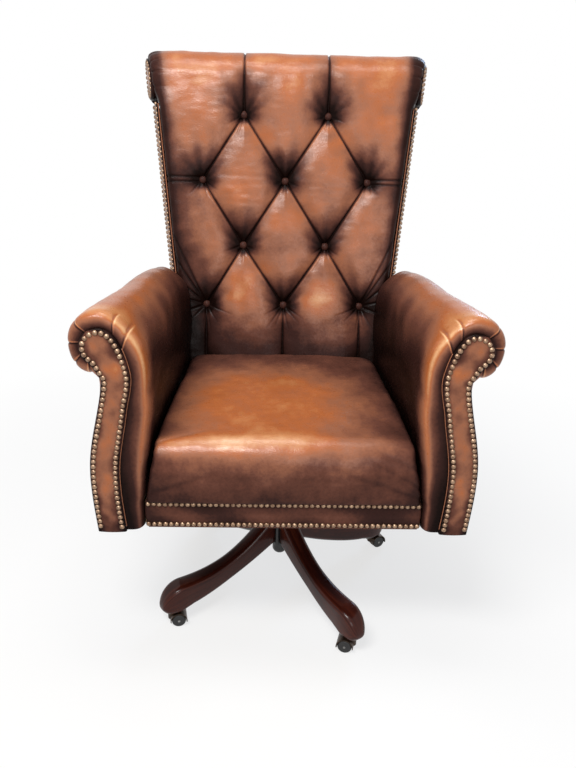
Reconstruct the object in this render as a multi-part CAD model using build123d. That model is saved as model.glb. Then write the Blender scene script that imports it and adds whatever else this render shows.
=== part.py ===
from build123d import *

import math
import os

# Buttoned leather swivel chair with scroll arms, on a four-leg timber base with castors.
# Millimetres, +Z up, the sitter faces -Y, origin on the floor under the swivel axis.

# clearances
RUNNING_FIT = 0.06  # radial, shaft in bore
LOOSE_FIT = 0.3  # between pieces that move past each other
SOFT_GAP = 1.0  # between upholstered pieces that lie against each other

# castors
WHEEL_RADIUS = 15.0
WHEEL_WIDTH = 14.0
WHEEL_EDGE = 4.0
WEB_THICKNESS = 6.0
HOOD_CLEARANCE = 1.0
HOOD_THICKNESS = 2.0
CASTOR_TRAIL = 13.0
CASTOR_HEADINGS = (165.0, 25.0, 120.0, 10.0)  # way each castor trails, degrees about +Z
AXLE_RADIUS = 2.6
STEM_RADIUS = 4.1
STEM_LENGTH = 27.0
SOCKET_WALL = 1.9
SOCKET_FLANGE_RADIUS = 11.0
SOCKET_FLANGE = 1.8

# timber base
LEG_NAMES = ("front_right", "back_right", "back_left", "front_left")
BASE_TURN = -57.0  # heading of the first leg, degrees about +Z
LEG_REACH = 298.0
TOE_LENGTH = 52.0  # leg end beyond the ankle
CASTOR_INSET = 25.0  # castor stem inside the leg end
LEG_WIDTH = 38.0
TOE_WIDTH = 46.0
TOE_HEIGHT = 61.0
ANKLE_RISE = 5.0  # leg underside above the toe underside
LEG_EDGE = 11.0
LEG_ROOT_DEPTH = 75.0
LEG_ROOT_STEP = 17.0  # leg top below the hub top
HUB_SIDE = 52.0
HUB_CORNER = 5.0
HUB_BOTTOM = 119.0
HUB_HEIGHT = 95.0
STUD_RADIUS = 4.0
STUD_LENGTH = 38.0
STUD_SPACING = 20.0

# lift
TUBE_RADIUS = 16.0
TUBE_WALL = 3.6
TUBE_DROP = 24.0  # tube end below the hub
TUBE_FLANGE_RADIUS = 25.0
TUBE_FLANGE = 5.0
CAP_DEPTH = 12.0
KEY_WIDTH = 4.0
KEY_LENGTH = 40.0
KEY_BITE = 2.0  # how far the key reaches into the spindle
THRUST_WASHER = 2.0
THRUST_WASHER_RADIUS = 24.0
HEIGHT_WHEEL_RADIUS = 35.0
HEIGHT_WHEEL_THICKNESS = 14.0
SPINDLE_RADIUS = 11.0
SPINDLE_TAIL = 117.0  # spindle below its collar
LIFT_DOWN = 10.0
LIFT_STOP = 3.0
COLLAR_RADIUS = 19.0
COLLAR = 6.0
BEARING_HEIGHT = 6.0
JOURNAL_RADIUS = 9.0
JOURNAL_LENGTH = 43.0
CIRCLIP = 2.4
CIRCLIP_RADIUS = 13.0

# tilt
YOKE_PLATE = 5.0
YOKE_HALF_WIDTH = 46.0
YOKE_FRONT = 78.0
YOKE_REAR = 128.0
SOCKET_RADIUS = 17.0
SOCKET_HEIGHT = 29.0
CHEEK = 4.0
PIVOT_RISE = 32.0
PIVOT_FORWARD = 40.0
PIVOT_RADIUS = 6.0
PIVOT_BOSS = 13.0
PIVOT_HEAD = 3.0
EAR = 5.0
PLATE_RISE = 29.0  # plate underside above the pivot
PLATE = 5.0
PLATE_HALF_WIDTH = 100.0
PLATE_FRONT = 128.0
PLATE_REAR = 142.0
SPRING_BACK = 100.0  # spring axis behind the swivel axis
SPRING_RADIUS = 17.0
SPRING_WIRE = 2.6
SPRING_TURNS = 4
CUP = 2.6
CUP_RADIUS = 21.0
KNOB_RADIUS = 25.0
KNOB_HEIGHT = 22.0
KNOB_DROP = 11.0  # knob top below the yoke
BOLT_RADIUS = 5.0
BOLT_STANDOUT = 18.0  # tension bolt above the yoke plate
PLATE_BOLT_RADIUS = 4.0
PLATE_BOLT_HEAD = 5.5
PLATE_BOLT_LENGTH = 33.0
PLATE_BOLT_INSET = 30.0

# seat frame
RAIL_HEIGHT = 47.5
RAIL_THICKNESS = 28.0
RAIL_FRONT_REACH = 270.0
RAIL_REAR_REACH = 172.0
BEARER_WIDTH = 46.0
BEARER_HEIGHT = 30.0
BEARER_OFFSET = 75.0
BLOCK_LEG = 60.0
WEBBING = 4.0
WEB_STRIP = 50.0
DUST_COVER = 1.6
BORDER = 6.0
BORDER_LIP = 4.0

# seat cushion
SEAT_CROWN = 122.5  # crest above the rails
SEAT_SIDE_DROP = 17.0
SEAT_NOSE = 13.0  # nose in front of the border
SEAT_CREST = 36.0  # crest behind the border face
SEAT_DRAW_IN = 3.0

# arms, right-hand side, front values then rear values
ARM_DROP = 2.0  # arm bottom below the rails
ARM_FRONT = 290.0
ARM_TAIL = 300.0
ARM_SHOULDER_END = 200.0
ARM_ROUND = 13.0
ARM_FOOT = (258.0, 216.0)
ARM_WAIST = (252.0, 211.0)
ARM_SHOULDER = (236.0, 203.0)
ARM_ROLL_X = (320.0, 270.0)
ARM_ROLL_Z = (692.0, 662.0)
ARM_ROLL_RADIUS = (50.0, 34.0)
ARM_NECK = (314.0, 262.0)
ARM_FLANK = (349.0, 290.0)
ARM_OUTER_FOOT = (341.0, 284.0)
ARM_TAIL_FALL = 62.0
ARM_BELLY_HEIGHT = 118.0  # widest place of the flank above the arm bottom
SCROLL_END = -82.0  # where the scroll turns into the neck, degrees from the outward level
FACING = 7.0
FACING_BAND = 52.0
FACING_HEAD = 34.0
FACING_BELLY_HEIGHT = 130.0
FACING_NECK_STEP = 15.0  # inner edge beside the neck, inside the head
FACING_WAIST_STEP = 5.0  # inner edge at the waist, inside the head
ARM_POST = 28.0
ARM_POST_DEPTH = 34.0

# back, in its own upright frame: x across, y to the rear, z up the reclined front face
BACK_RECLINE = 14.5
BACK_FOOT_Y = 165.0
BACK_FOOT_Z = 492.0
BACK_HALF_WIDTH = 217.0
BACK_TAPER = 0.104  # half-width gained per mm up the back
BACK_FLARE = 0.19  # half-width gained per mm to the rear
BACK_LOW = -88.0
BACK_PAD = 52.0
BACK_FRAME = 34.0
BACK_PANEL = 6.0
ROLL_RADIUS = 61.0
ROLL_HEIGHT = 606.0
SIDE_FACING = 6.0
SIDE_FACING_INSET = 17.0
SIDE_FACING_LOW = 40.0
SCROLL_STEP = 7.0  # side facing's scroll head beyond its band
POST_WIDTH = 34.0
POST_INSET = 14.0
BACK_RAIL_HEIGHT = 60.0
ROLL_CORE = 56.0

# buttoning: rows from the top, height up the back and positions across
BUTTON_ROWS = ((529.0, (-92.0, 92.0)), (389.0, (-182.0, 0.0, 182.0)),
               (248.0, (-91.0, 91.0)), (116.0, (-172.0, 0.0, 172.0)))
BUTTON_RADIUS = 8.6
BUTTON_HEIGHT = 6.0
DIMPLE_DEPTH = 22.0
DIMPLE_RADIUS = 44.0
PLEAT_DEPTH = 13.0
PLEAT_HALF_WIDTH = 21.0
PLEAT_FLOOR = 1.5  # half-width of the pleat bottom

# heights that follow from the sizes above, from the floor up
hood_inner = WHEEL_RADIUS + HOOD_CLEARANCE
hood_outer = hood_inner + HOOD_THICKNESS
ankle_reach = LEG_REACH - TOE_LENGTH
castor_reach = LEG_REACH - CASTOR_INSET
toe_underside = WHEEL_RADIUS + hood_outer + SOCKET_FLANGE + 2.5 * LOOSE_FIT
hub_top = HUB_BOTTOM + HUB_HEIGHT
flange_top = hub_top + TUBE_FLANGE
wheel_low = flange_top + THRUST_WASHER + LOOSE_FIT
wheel_top = wheel_low + HEIGHT_WHEEL_THICKNESS
collar_low = wheel_top + LIFT_DOWN + LIFT_STOP
bearing_low = collar_low + COLLAR
yoke_low = bearing_low + BEARING_HEIGHT + LOOSE_FIT
yoke_top = yoke_low + YOKE_PLATE
pivot_z = yoke_low + PIVOT_RISE
plate_low = pivot_z + PLATE_RISE
plate_top = plate_low + PLATE
seat_bottom = plate_top + DUST_COVER
rail_top = seat_bottom + RAIL_HEIGHT
cushion_low = rail_top + WEBBING
crown_z = rail_top + SEAT_CROWN
tube_bore = TUBE_RADIUS - TUBE_WALL
back_depth = BACK_PAD + BACK_FRAME
back_frame = Pos(0, BACK_FOOT_Y, BACK_FOOT_Z) * Rot(-BACK_RECLINE, 0, 0)
FAR = 900.0


def save(node, shape):
    export_step(shape, f"parts/{node}.step")


def ring(outer, inner, height, low):
    return Pos(0, 0, low + height / 2) * (Cylinder(outer, height) - Cylinder(inner, height))


def rod(radius, low, high):
    return Pos(0, 0, (low + high) / 2) * Cylinder(radius, high - low)


def slab(x0, x1, y0, y1, z0, z1):
    return Pos((x0 + x1) / 2, (y0 + y1) / 2, (z0 + z1) / 2) * Box(x1 - x0, y1 - y0, z1 - z0)


def along_x(radius, x0, x1, y, z):
    return Pos((x0 + x1) / 2, y, z) * Rot(0, 90, 0) * Cylinder(radius, x1 - x0)


def along_y(radius, y0, y1, x, z):
    return Pos(x, (y0 + y1) / 2, z) * Rot(90, 0, 0) * Cylinder(radius, y1 - y0)


def prism(points, z0, z1):
    return extrude(Pos(0, 0, z0) * make_face(Polyline(points, close=True)), z1 - z0)


def lobed(radius, height, low, lobes):
    """Hand wheel: a disc with a scallop between lobes."""
    scallop = radius * 0.2
    tools = [Rot(0, 0, 360 * i / lobes) * Pos(radius + scallop * 0.45, 0, 0) * Cylinder(scallop, 2 * height)
             for i in range(lobes)]
    disc = fillet(Cylinder(radius, height).edges().filter_by(GeomType.CIRCLE), height * 0.22)
    return Pos(0, 0, low + height / 2) * (disc - tools)


def leg_heading(index):
    return Rot(0, 0, BASE_TURN + 90 * index)


# base

def leg_blank():
    """S-curved leg with a club toe, pointing along +X: a loft of rounded rectangles."""
    toe_top = toe_underside + TOE_HEIGHT
    toe_low = toe_underside - 2
    root = HUB_SIDE / 2
    root_top = hub_top - LEG_ROOT_STEP
    root_low = root_top - LEG_ROOT_DEPTH
    ankle_low = toe_underside + ANKLE_RISE
    stations = []
    for step in range(9):
        share = step / 8
        fall = 1 - share
        reach = root + (ankle_reach - root) * share
        low = ankle_low + (root_low - ankle_low) * fall ** 1.5
        top = toe_top + (root_top - toe_top) * fall ** 2.4
        width = LEG_WIDTH + (TOE_WIDTH - LEG_WIDTH) * max(0, share - 0.5) * 2
        stations.append((reach, low, top, width))
    toe_middle = toe_low + 0.25 * TOE_HEIGHT
    for turn in (14, 28, 42, 56, 68, 79):
        lean = math.cos(math.radians(turn))
        reach = ankle_reach + (LEG_REACH - ankle_reach) * math.sin(math.radians(turn))
        low = toe_middle - (toe_middle - toe_low) * min(1, 1.5 * lean)
        top = toe_middle + (toe_top - toe_middle) * lean
        stations.append((reach, low, top, TOE_WIDTH * math.sqrt(lean)))
    sections = []
    for reach, low, top, width in stations:
        edge = min(LEG_EDGE, 0.45 * min(width, top - low))
        place = Plane((reach, 0, (low + top) / 2), x_dir=(0, 1, 0), z_dir=(1, 0, 0))
        sections.append(place * RectangleRounded(width, top - low, edge))
    body = loft(sections, ruled=True)
    body -= slab(ankle_reach - 40, LEG_REACH + 20, -60, 60, -50, toe_underside)
    body -= Pos(castor_reach, 0, 0) * rod(STEM_RADIUS + RUNNING_FIT + SOCKET_WALL,
                                          toe_underside - 1, toe_underside + STEM_LENGTH + 2)
    return body - leg_studs()


def stud_heights():
    middle = hub_top - LEG_ROOT_STEP - LEG_ROOT_DEPTH * 0.66
    return (middle - STUD_SPACING / 2, middle + STUD_SPACING / 2)


def leg_studs():
    start = HUB_SIDE / 2 - 7
    return [along_x(STUD_RADIUS, start, start + STUD_LENGTH, 0, z) for z in stud_heights()]


def base_hub():
    block = extrude(Pos(0, 0, HUB_BOTTOM) * RectangleRounded(HUB_SIDE, HUB_SIDE, HUB_CORNER), HUB_HEIGHT)
    block = leg_heading(0) * block - rod(TUBE_RADIUS, HUB_BOTTOM - 1, hub_top + 1)
    return block - all_studs()


def all_studs():
    return [leg_heading(i) * stud for i in range(len(LEG_NAMES)) for stud in leg_studs()]


def guide_key():
    top = hub_top - 6
    inner = SPINDLE_RADIUS - KEY_BITE
    half = KEY_WIDTH / 2
    return leg_heading(0) * slab(inner, TUBE_RADIUS - 1, -half, half, top - KEY_LENGTH, top)


def lift_tube():
    low = HUB_BOTTOM - TUBE_DROP
    tube = ring(TUBE_RADIUS, tube_bore, flange_top - low, low)
    tube += ring(TUBE_FLANGE_RADIUS, tube_bore, TUBE_FLANGE, hub_top)
    return tube - guide_key()


def lift_tube_cap():
    high = HUB_BOTTOM - TUBE_DROP
    low = high - CAP_DEPTH
    edge = 0.7071
    dome = ThreePointArc((0, low), (TUBE_RADIUS * edge, high - CAP_DEPTH * edge), (TUBE_RADIUS, high))
    outline = [dome, Line((TUBE_RADIUS, high), (0, high)), Line((0, high), (0, low))]
    return revolve(Plane.XZ * make_face(outline), Axis.Z)


def castor_sockets():
    outer = STEM_RADIUS + RUNNING_FIT + SOCKET_WALL
    sleeve = ring(outer, STEM_RADIUS + RUNNING_FIT, STEM_LENGTH + 1, toe_underside)
    sleeve += ring(SOCKET_FLANGE_RADIUS, STEM_RADIUS + RUNNING_FIT, SOCKET_FLANGE,
                   toe_underside - SOCKET_FLANGE)
    return [leg_heading(i) * Pos(castor_reach, 0, 0) * sleeve for i in range(len(LEG_NAMES))]


def castor_pieces():
    """Hood with stem, axle and wheel pair, with the stem on the Z axis and the wheels towards +X."""
    half = WEB_THICKNESS / 2 + WHEEL_WIDTH + 2 * LOOSE_FIT
    web_half = WEB_THICKNESS / 2
    x = CASTOR_TRAIL
    hood = along_y(hood_outer, -half, half, x, WHEEL_RADIUS)
    hood -= along_y(hood_inner, -FAR, FAR, x, WHEEL_RADIUS)
    hood -= slab(x - 60, x + 60, -60, 60, -60, WHEEL_RADIUS - 3)
    web = along_y(hood_inner, -web_half, web_half, x, WHEEL_RADIUS)
    web -= slab(x - 60, x + 60, -60, 60, -60, WHEEL_RADIUS - 11)
    boss_top = toe_underside - SOCKET_FLANGE - LOOSE_FIT
    boss = rod(SOCKET_FLANGE_RADIUS - 2, WHEEL_RADIUS, boss_top)
    boss -= along_y(hood_inner, -FAR, FAR, x, WHEEL_RADIUS)
    hood = hood + web + boss + rod(STEM_RADIUS, boss_top - 1, toe_underside + STEM_LENGTH - 1)
    hood -= along_y(AXLE_RADIUS + RUNNING_FIT, -half, half, x, WHEEL_RADIUS)
    axle = along_y(AXLE_RADIUS, -half, half, x, WHEEL_RADIUS)
    tyre = Cylinder(WHEEL_RADIUS, WHEEL_WIDTH)
    tyre = fillet(tyre.edges().filter_by(GeomType.CIRCLE), WHEEL_EDGE) - Cylinder(AXLE_RADIUS, FAR)
    offset = web_half + LOOSE_FIT + WHEEL_WIDTH / 2
    wheels = [Pos(x, side * offset, WHEEL_RADIUS) * Rot(90, 0, 0) * tyre for side in (-1, 1)]
    return hood, axle, wheels


# lift and swivel

def spindle():
    low = collar_low - SPINDLE_TAIL
    shaft = rod(SPINDLE_RADIUS, low, collar_low) + rod(COLLAR_RADIUS, collar_low, bearing_low)
    shaft += rod(JOURNAL_RADIUS, bearing_low, bearing_low + JOURNAL_LENGTH)
    key_way = leg_heading(0) * slab(SPINDLE_RADIUS - KEY_BITE - LOOSE_FIT, FAR, -KEY_WIDTH / 2 - LOOSE_FIT,
                                    KEY_WIDTH / 2 + LOOSE_FIT, low - 1, collar_low - 4)
    return shaft - key_way


def height_wheel():
    return lobed(HEIGHT_WHEEL_RADIUS, HEIGHT_WHEEL_THICKNESS, wheel_low, 8) - rod(
        SPINDLE_RADIUS + LOOSE_FIT, wheel_low - 1, wheel_top + 1)


def circlip():
    low = yoke_low + SOCKET_HEIGHT + LOOSE_FIT
    return ring(CIRCLIP_RADIUS, JOURNAL_RADIUS, CIRCLIP, low)


# tilt

def lug(x0, x1, foot_z):
    """Plate standing on foot_z with a round end about the pivot."""
    half = PIVOT_BOSS
    y = -PIVOT_FORWARD
    low = min(foot_z, pivot_z)
    high = max(foot_z, pivot_z)
    plate = slab(x0, x1, y - half, y + half, low, high) + along_x(half, x0, x1, y, pivot_z)
    return plate


def tilt_yoke():
    width = YOKE_HALF_WIDTH
    plate = slab(-width, width, -YOKE_FRONT, YOKE_REAR, yoke_low, yoke_top)
    plate = fillet(plate.edges().filter_by(Axis.Z), 14)
    body = plate + rod(SOCKET_RADIUS, yoke_low, yoke_low + SOCKET_HEIGHT)
    for side in (-1, 1):
        inner, outer = sorted((side * (width - CHEEK), side * width))
        body += lug(inner, outer, yoke_low)
    body -= rod(JOURNAL_RADIUS + RUNNING_FIT, yoke_low - 1, yoke_low + SOCKET_HEIGHT + 1)
    body -= along_x(PIVOT_RADIUS, -FAR, FAR, -PIVOT_FORWARD, pivot_z)
    return body - Pos(0, SPRING_BACK, 0) * rod(BOLT_RADIUS + LOOSE_FIT, yoke_low - 1, yoke_top + 1)


def pivot_pin():
    half = YOKE_HALF_WIDTH + PIVOT_HEAD
    pin = along_x(PIVOT_RADIUS, -half, half, -PIVOT_FORWARD, pivot_z)
    for side in (-1, 1):
        inner, outer = sorted((side * YOKE_HALF_WIDTH, side * half))
        pin += along_x(PIVOT_RADIUS + 3, inner, outer, -PIVOT_FORWARD, pivot_z)
    return pin


def tilt_plate():
    width = PLATE_HALF_WIDTH
    body = slab(-width, width, -PLATE_FRONT, PLATE_REAR, plate_low, plate_top)
    body = fillet(body.edges().filter_by(Axis.Z), 16)
    reach = YOKE_HALF_WIDTH - CHEEK - LOOSE_FIT
    for side in (-1, 1):
        inner, outer = sorted((side * (reach - EAR), side * reach))
        body += lug(inner, outer, plate_low + 1)
    body -= along_x(PIVOT_RADIUS + RUNNING_FIT, -FAR, FAR, -PIVOT_FORWARD, pivot_z)
    return body - plate_bolts()


def plate_bolt_places():
    rows = (-PLATE_FRONT + PLATE_BOLT_INSET, PLATE_REAR - PLATE_BOLT_INSET)
    return [(side * BEARER_OFFSET, y) for side in (-1, 1) for y in rows]


def plate_bolts():
    head = extrude(Pos(0, 0, plate_low - PLATE_BOLT_HEAD) * RegularPolygon(PLATE_BOLT_RADIUS * 1.9, 6),
                   PLATE_BOLT_HEAD)
    bolt = head + rod(PLATE_BOLT_RADIUS, plate_low - 1, plate_low + PLATE_BOLT_LENGTH)
    return [Pos(x, y, 0) * bolt for x, y in plate_bolt_places()]


def lower_cup():
    return Pos(0, SPRING_BACK, 0) * ring(CUP_RADIUS, BOLT_RADIUS + LOOSE_FIT, CUP, yoke_top)


def upper_cup():
    return Pos(0, SPRING_BACK, 0) * ring(CUP_RADIUS, SPRING_RADIUS * 0.5, CUP, plate_low - CUP)


def biarc(start, start_way, end, end_way):
    """Two arcs that meet smoothly, leaving start along start_way and reaching end along end_way."""
    span = end - start
    ways = start_way + end_way
    spread = 2 * (1 - start_way.dot(end_way))
    lead = span.dot(ways)
    reach = (math.sqrt(lead * lead + spread * span.dot(span)) - lead) / spread
    middle = (start + start_way * reach + end - end_way * reach) * 0.5
    first = TangentArc(start, middle, tangent=start_way)
    return [first, TangentArc(middle, end, tangent=first % 1)]


def tilt_spring():
    low = yoke_top + CUP + SPRING_WIRE
    high = plate_low - CUP - SPRING_WIRE
    pitch = (high - low) / SPRING_TURNS
    steps = 4 * SPRING_TURNS
    points = []
    ways = []
    for i in range(steps + 1):
        turn = math.pi / 2 * i
        points.append(Vector(SPRING_RADIUS * math.cos(turn), SPRING_BACK + SPRING_RADIUS * math.sin(turn),
                             low + (high - low) * i / steps))
        climb = pitch / (2 * math.pi * SPRING_RADIUS)
        ways.append(Vector(-math.sin(turn), math.cos(turn), climb).normalized())
    arcs = []
    for i in range(steps):
        arcs += biarc(points[i], ways[i], points[i + 1], ways[i + 1])
    path = Wire(arcs)
    wire = sweep(Plane(points[0], z_dir=ways[0]) * Circle(SPRING_WIRE), path=path)
    samples = [path.position_at(i / 400) for i in range(401)]
    apart = 400 // SPRING_TURNS // 2
    gap = min((samples[i] - samples[j]).length for i in range(401) for j in range(i + apart, 401))
    print(f"spring: least gap between coils {gap - 2 * SPRING_WIRE:.2f} mm")
    return wire


def tension_knob():
    top = yoke_low - KNOB_DROP
    return Pos(0, SPRING_BACK, 0) * (lobed(KNOB_RADIUS, KNOB_HEIGHT, top - KNOB_HEIGHT, 6)
                                     - rod(BOLT_RADIUS, top - KNOB_HEIGHT * 0.7, top + 1))


def tension_bolt():
    top = yoke_low - KNOB_DROP
    return Pos(0, SPRING_BACK, 0) * rod(BOLT_RADIUS, top - KNOB_HEIGHT * 0.7, yoke_top + BOLT_STANDOUT)


# seat frame

def blend(pair, y):
    """Value at y along an arm, from its front pair value to its rear one."""
    share = (y + ARM_FRONT) / (ARM_SHOULDER_END + ARM_FRONT)
    return pair[0] + (pair[1] - pair[0]) * share


def frame_half(y):
    return blend(ARM_FOOT, y) - SOFT_GAP


def cross_rail(y0, y1):
    outline = [(-frame_half(y0), y0), (frame_half(y0), y0), (frame_half(y1), y1), (-frame_half(y1), y1)]
    return prism(outline, seat_bottom, rail_top)


def side_rails():
    y0 = -RAIL_FRONT_REACH + RAIL_THICKNESS
    y1 = RAIL_REAR_REACH - RAIL_THICKNESS
    outline = [(frame_half(y0), y0), (frame_half(y1), y1), (frame_half(y1) - RAIL_THICKNESS, y1),
               (frame_half(y0) - RAIL_THICKNESS, y0)]
    rail = prism(outline, seat_bottom, rail_top)
    return [rail, mirror(rail, Plane.YZ)]


def corner_blocks():
    front = -RAIL_FRONT_REACH + RAIL_THICKNESS
    rear = RAIL_REAR_REACH - RAIL_THICKNESS
    blocks = []
    for y, step in ((front, BLOCK_LEG), (rear, -BLOCK_LEG)):
        side = frame_half(y) - RAIL_THICKNESS
        far_side = frame_half(y + step) - RAIL_THICKNESS
        outline = [(side, y), (far_side, y + step), (side - BLOCK_LEG, y)]
        block = prism(outline, seat_bottom + 8, rail_top - 8)
        blocks += [block, mirror(block, Plane.YZ)]
    return blocks


def seat_bearers():
    half = BEARER_WIDTH / 2
    y0 = -RAIL_FRONT_REACH + RAIL_THICKNESS
    y1 = RAIL_REAR_REACH - RAIL_THICKNESS
    bearers = [slab(side * BEARER_OFFSET - half, side * BEARER_OFFSET + half, y0, y1, seat_bottom,
                    seat_bottom + BEARER_HEIGHT) for side in (-1, 1)]
    return [bearer - plate_bolts() for bearer in bearers]


def frame_outline(inset):
    y0 = -RAIL_FRONT_REACH + inset
    y1 = RAIL_REAR_REACH - inset
    return [(-frame_half(y0) + inset, y0), (frame_half(y0) - inset, y0), (frame_half(y1) - inset, y1),
            (-frame_half(y1) + inset, y1)]


def seat_webbing():
    """Woven straps as one net on top of the rails."""
    net = prism(frame_outline(4), rail_top, cushion_low)
    pitch = WEB_STRIP * 1.6
    hole = Box(pitch - WEB_STRIP, pitch - WEB_STRIP, FAR)
    middle = (RAIL_REAR_REACH - RAIL_FRONT_REACH) / 2
    steps = range(-2, 3)
    holes = [Pos(pitch * i, middle + pitch * j, rail_top) * hole for i in steps for j in steps]
    return net - holes


def behind_back(depth, z):
    """Chair y of the plane that lies depth behind the back's front face, at height z."""
    lean = math.radians(BACK_RECLINE)
    return BACK_FOOT_Y + (depth + (z - BACK_FOOT_Z) * math.sin(lean)) / math.cos(lean)


def dust_cover():
    """Black cloth under the frame, clamped by the tilt plate and reaching back to the rear panel."""
    inset = 6
    y0 = -RAIL_FRONT_REACH + inset
    y1 = behind_back(back_depth, plate_top) - SOFT_GAP
    outline = [(-frame_half(y0) + inset, y0), (frame_half(y0) - inset, y0), (frame_half(y1) - inset, y1),
               (-frame_half(y1) + inset, y1)]
    return prism(outline, plate_top, seat_bottom) - plate_bolts()


def front_border():
    y = -RAIL_FRONT_REACH
    half = frame_half(y) - SOFT_GAP
    return slab(-half, half, y - BORDER, y, seat_bottom - BORDER_LIP, rail_top + BORDER_LIP)


def cushion_section(y, half, low, side_z, crown):
    """Cushion cut across at y: flat bottom, sides drawn in at the top, crowned top."""
    upper = half - 2 * SEAT_DRAW_IN
    foot = half - SEAT_DRAW_IN
    middle = (low + side_z) / 2
    edges = [Line((-foot, low), (foot, low)),
             ThreePointArc((foot, low), (half, middle), (upper, side_z)),
             ThreePointArc((upper, side_z), (0, crown), (-upper, side_z)),
             ThreePointArc((-upper, side_z), (-half, middle), (-foot, low))]
    return Plane((0, y, 0), x_dir=(1, 0, 0), z_dir=(0, -1, 0)) * make_face(edges)


def seat_cushion():
    """Crowned cushion with a rounded nose, cut back behind to clear the reclined back."""
    crest = -RAIL_FRONT_REACH - BORDER + SEAT_CREST
    nose = -RAIL_FRONT_REACH - BORDER - SEAT_NOSE
    rear = BACK_FOOT_Y + BACK_PAD
    middle = cushion_low + 0.45 * (crown_z - cushion_low)
    stations = []
    for turn in (12, 30, 48, 66, 90):
        lift = math.sin(math.radians(turn))
        y = crest - (crest - nose) * math.cos(math.radians(turn))
        low = middle - (middle - cushion_low) * min(1, 1.6 * lift)
        stations.append((y, low, middle + (crown_z - middle) * lift))
    for share, rise in ((0.25, 2), (0.5, 3), (0.75, 2), (1, -6)):
        stations.append((crest + (rear - crest) * share, cushion_low, crown_z + rise))
    sections = []
    for y, low, crown in stations:
        half = blend(ARM_WAIST, y) - SOFT_GAP
        drop = min(SEAT_SIDE_DROP, (crown - low) * 0.35)
        sections.append(cushion_section(y, half, low, crown - drop, crown))
    body = loft(sections, ruled=True)
    return body - back_frame * slab(-FAR, FAR, -SOFT_GAP, FAR, -FAR, FAR)


# arms

def arm_section(y, front_inset, fall):
    """Right arm cut across at y; front_inset shrinks it for the rounded front, fall lowers the roll."""
    foot = blend(ARM_FOOT, y)
    waist = blend(ARM_WAIST, y) + front_inset
    shoulder = blend(ARM_SHOULDER, y) + front_inset
    roll_x = blend(ARM_ROLL_X, y)
    roll_z = blend(ARM_ROLL_Z, y) - fall
    radius = blend(ARM_ROLL_RADIUS, y) - front_inset
    bottom = seat_bottom - ARM_DROP
    seat_z = rail_top + 70
    shoulder_z = roll_z - 2 * blend(ARM_ROLL_RADIUS, y)
    top = (roll_x, roll_z + radius)
    shoulder_point = (shoulder, shoulder_z)
    bend = (roll_x - 0.71 * (roll_x - shoulder), shoulder_z + 0.71 * (top[1] - shoulder_z))
    under_turn = math.radians(SCROLL_END)
    under = (roll_x + radius * math.cos(under_turn), roll_z + radius * math.sin(under_turn))
    neck = (blend(ARM_NECK, y), roll_z - 1.32 * blend(ARM_ROLL_RADIUS, y))
    flank = (blend(ARM_FLANK, y), bottom + ARM_BELLY_HEIGHT)
    outer_foot = (blend(ARM_OUTER_FOOT, y), bottom)
    edges = [Line((foot, bottom), (foot, rail_top + WEBBING)),
             Spline((foot, rail_top + WEBBING), (waist, seat_z), shoulder_point, bend, top,
                    tangents=[(-0.3, 1), (1, 0)]),
             ThreePointArc(top, (roll_x + radius, roll_z), under),
             Line(under, neck),
             Spline(neck, flank, outer_foot, tangents=[(0.1, -1), (-0.12, -1)]),
             Line(outer_foot, (foot, bottom))]
    return Plane((0, y, 0), x_dir=(1, 0, 0), z_dir=(0, -1, 0)) * make_face(edges)


def arm_frame():
    """Front post, rear post, top rail and sill of the right arm, glued into one timber frame."""
    half = ARM_POST / 2
    y0 = -ARM_FRONT + 16
    y1 = y0 + ARM_POST_DEPTH
    y3 = RAIL_REAR_REACH - 20
    y2 = y3 - ARM_POST_DEPTH
    low = seat_bottom
    x0 = blend(ARM_FOOT, y0) + 14 + half
    x3 = blend(ARM_FOOT, y3) + 14 + half
    top0 = blend(ARM_ROLL_Z, y0) - 30
    top3 = blend(ARM_ROLL_Z, y3) - 30

    def post_face(y, x, z0, z1):
        place = Plane((x, y, (z0 + z1) / 2), x_dir=(1, 0, 0), z_dir=(0, -1, 0))
        return place * Rectangle(ARM_POST, z1 - z0)

    front = slab(x0 - half, x0 + half, y0, y1, low, top0)
    rear = slab(x3 - half, x3 + half, y2, y3, low, top3)
    rail = loft([post_face(y0, x0, top0 - 40, top0), post_face(y3, x3, top3 - 40, top3)], ruled=True)
    sill = loft([post_face(y0, x0, low, low + 50), post_face(y3, x3, low, low + 50)], ruled=True)
    return front + rear + rail + sill


def arm_pad():
    front = -ARM_FRONT
    sections = [arm_section(front, ARM_ROUND, 0), arm_section(front + ARM_ROUND, 0, 0),
                arm_section(ARM_SHOULDER_END, 0, 0), arm_section(ARM_TAIL, 0, ARM_TAIL_FALL)]
    body = loft(sections, ruled=True)
    cut = SIDE_FACING + SOFT_GAP
    body -= back_frame * back_wedge(cut, -SOFT_GAP)
    body -= back_frame * slab(-FAR, FAR, back_depth + BACK_PANEL, FAR, -FAR, FAR)
    return body - arm_frame()


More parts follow.
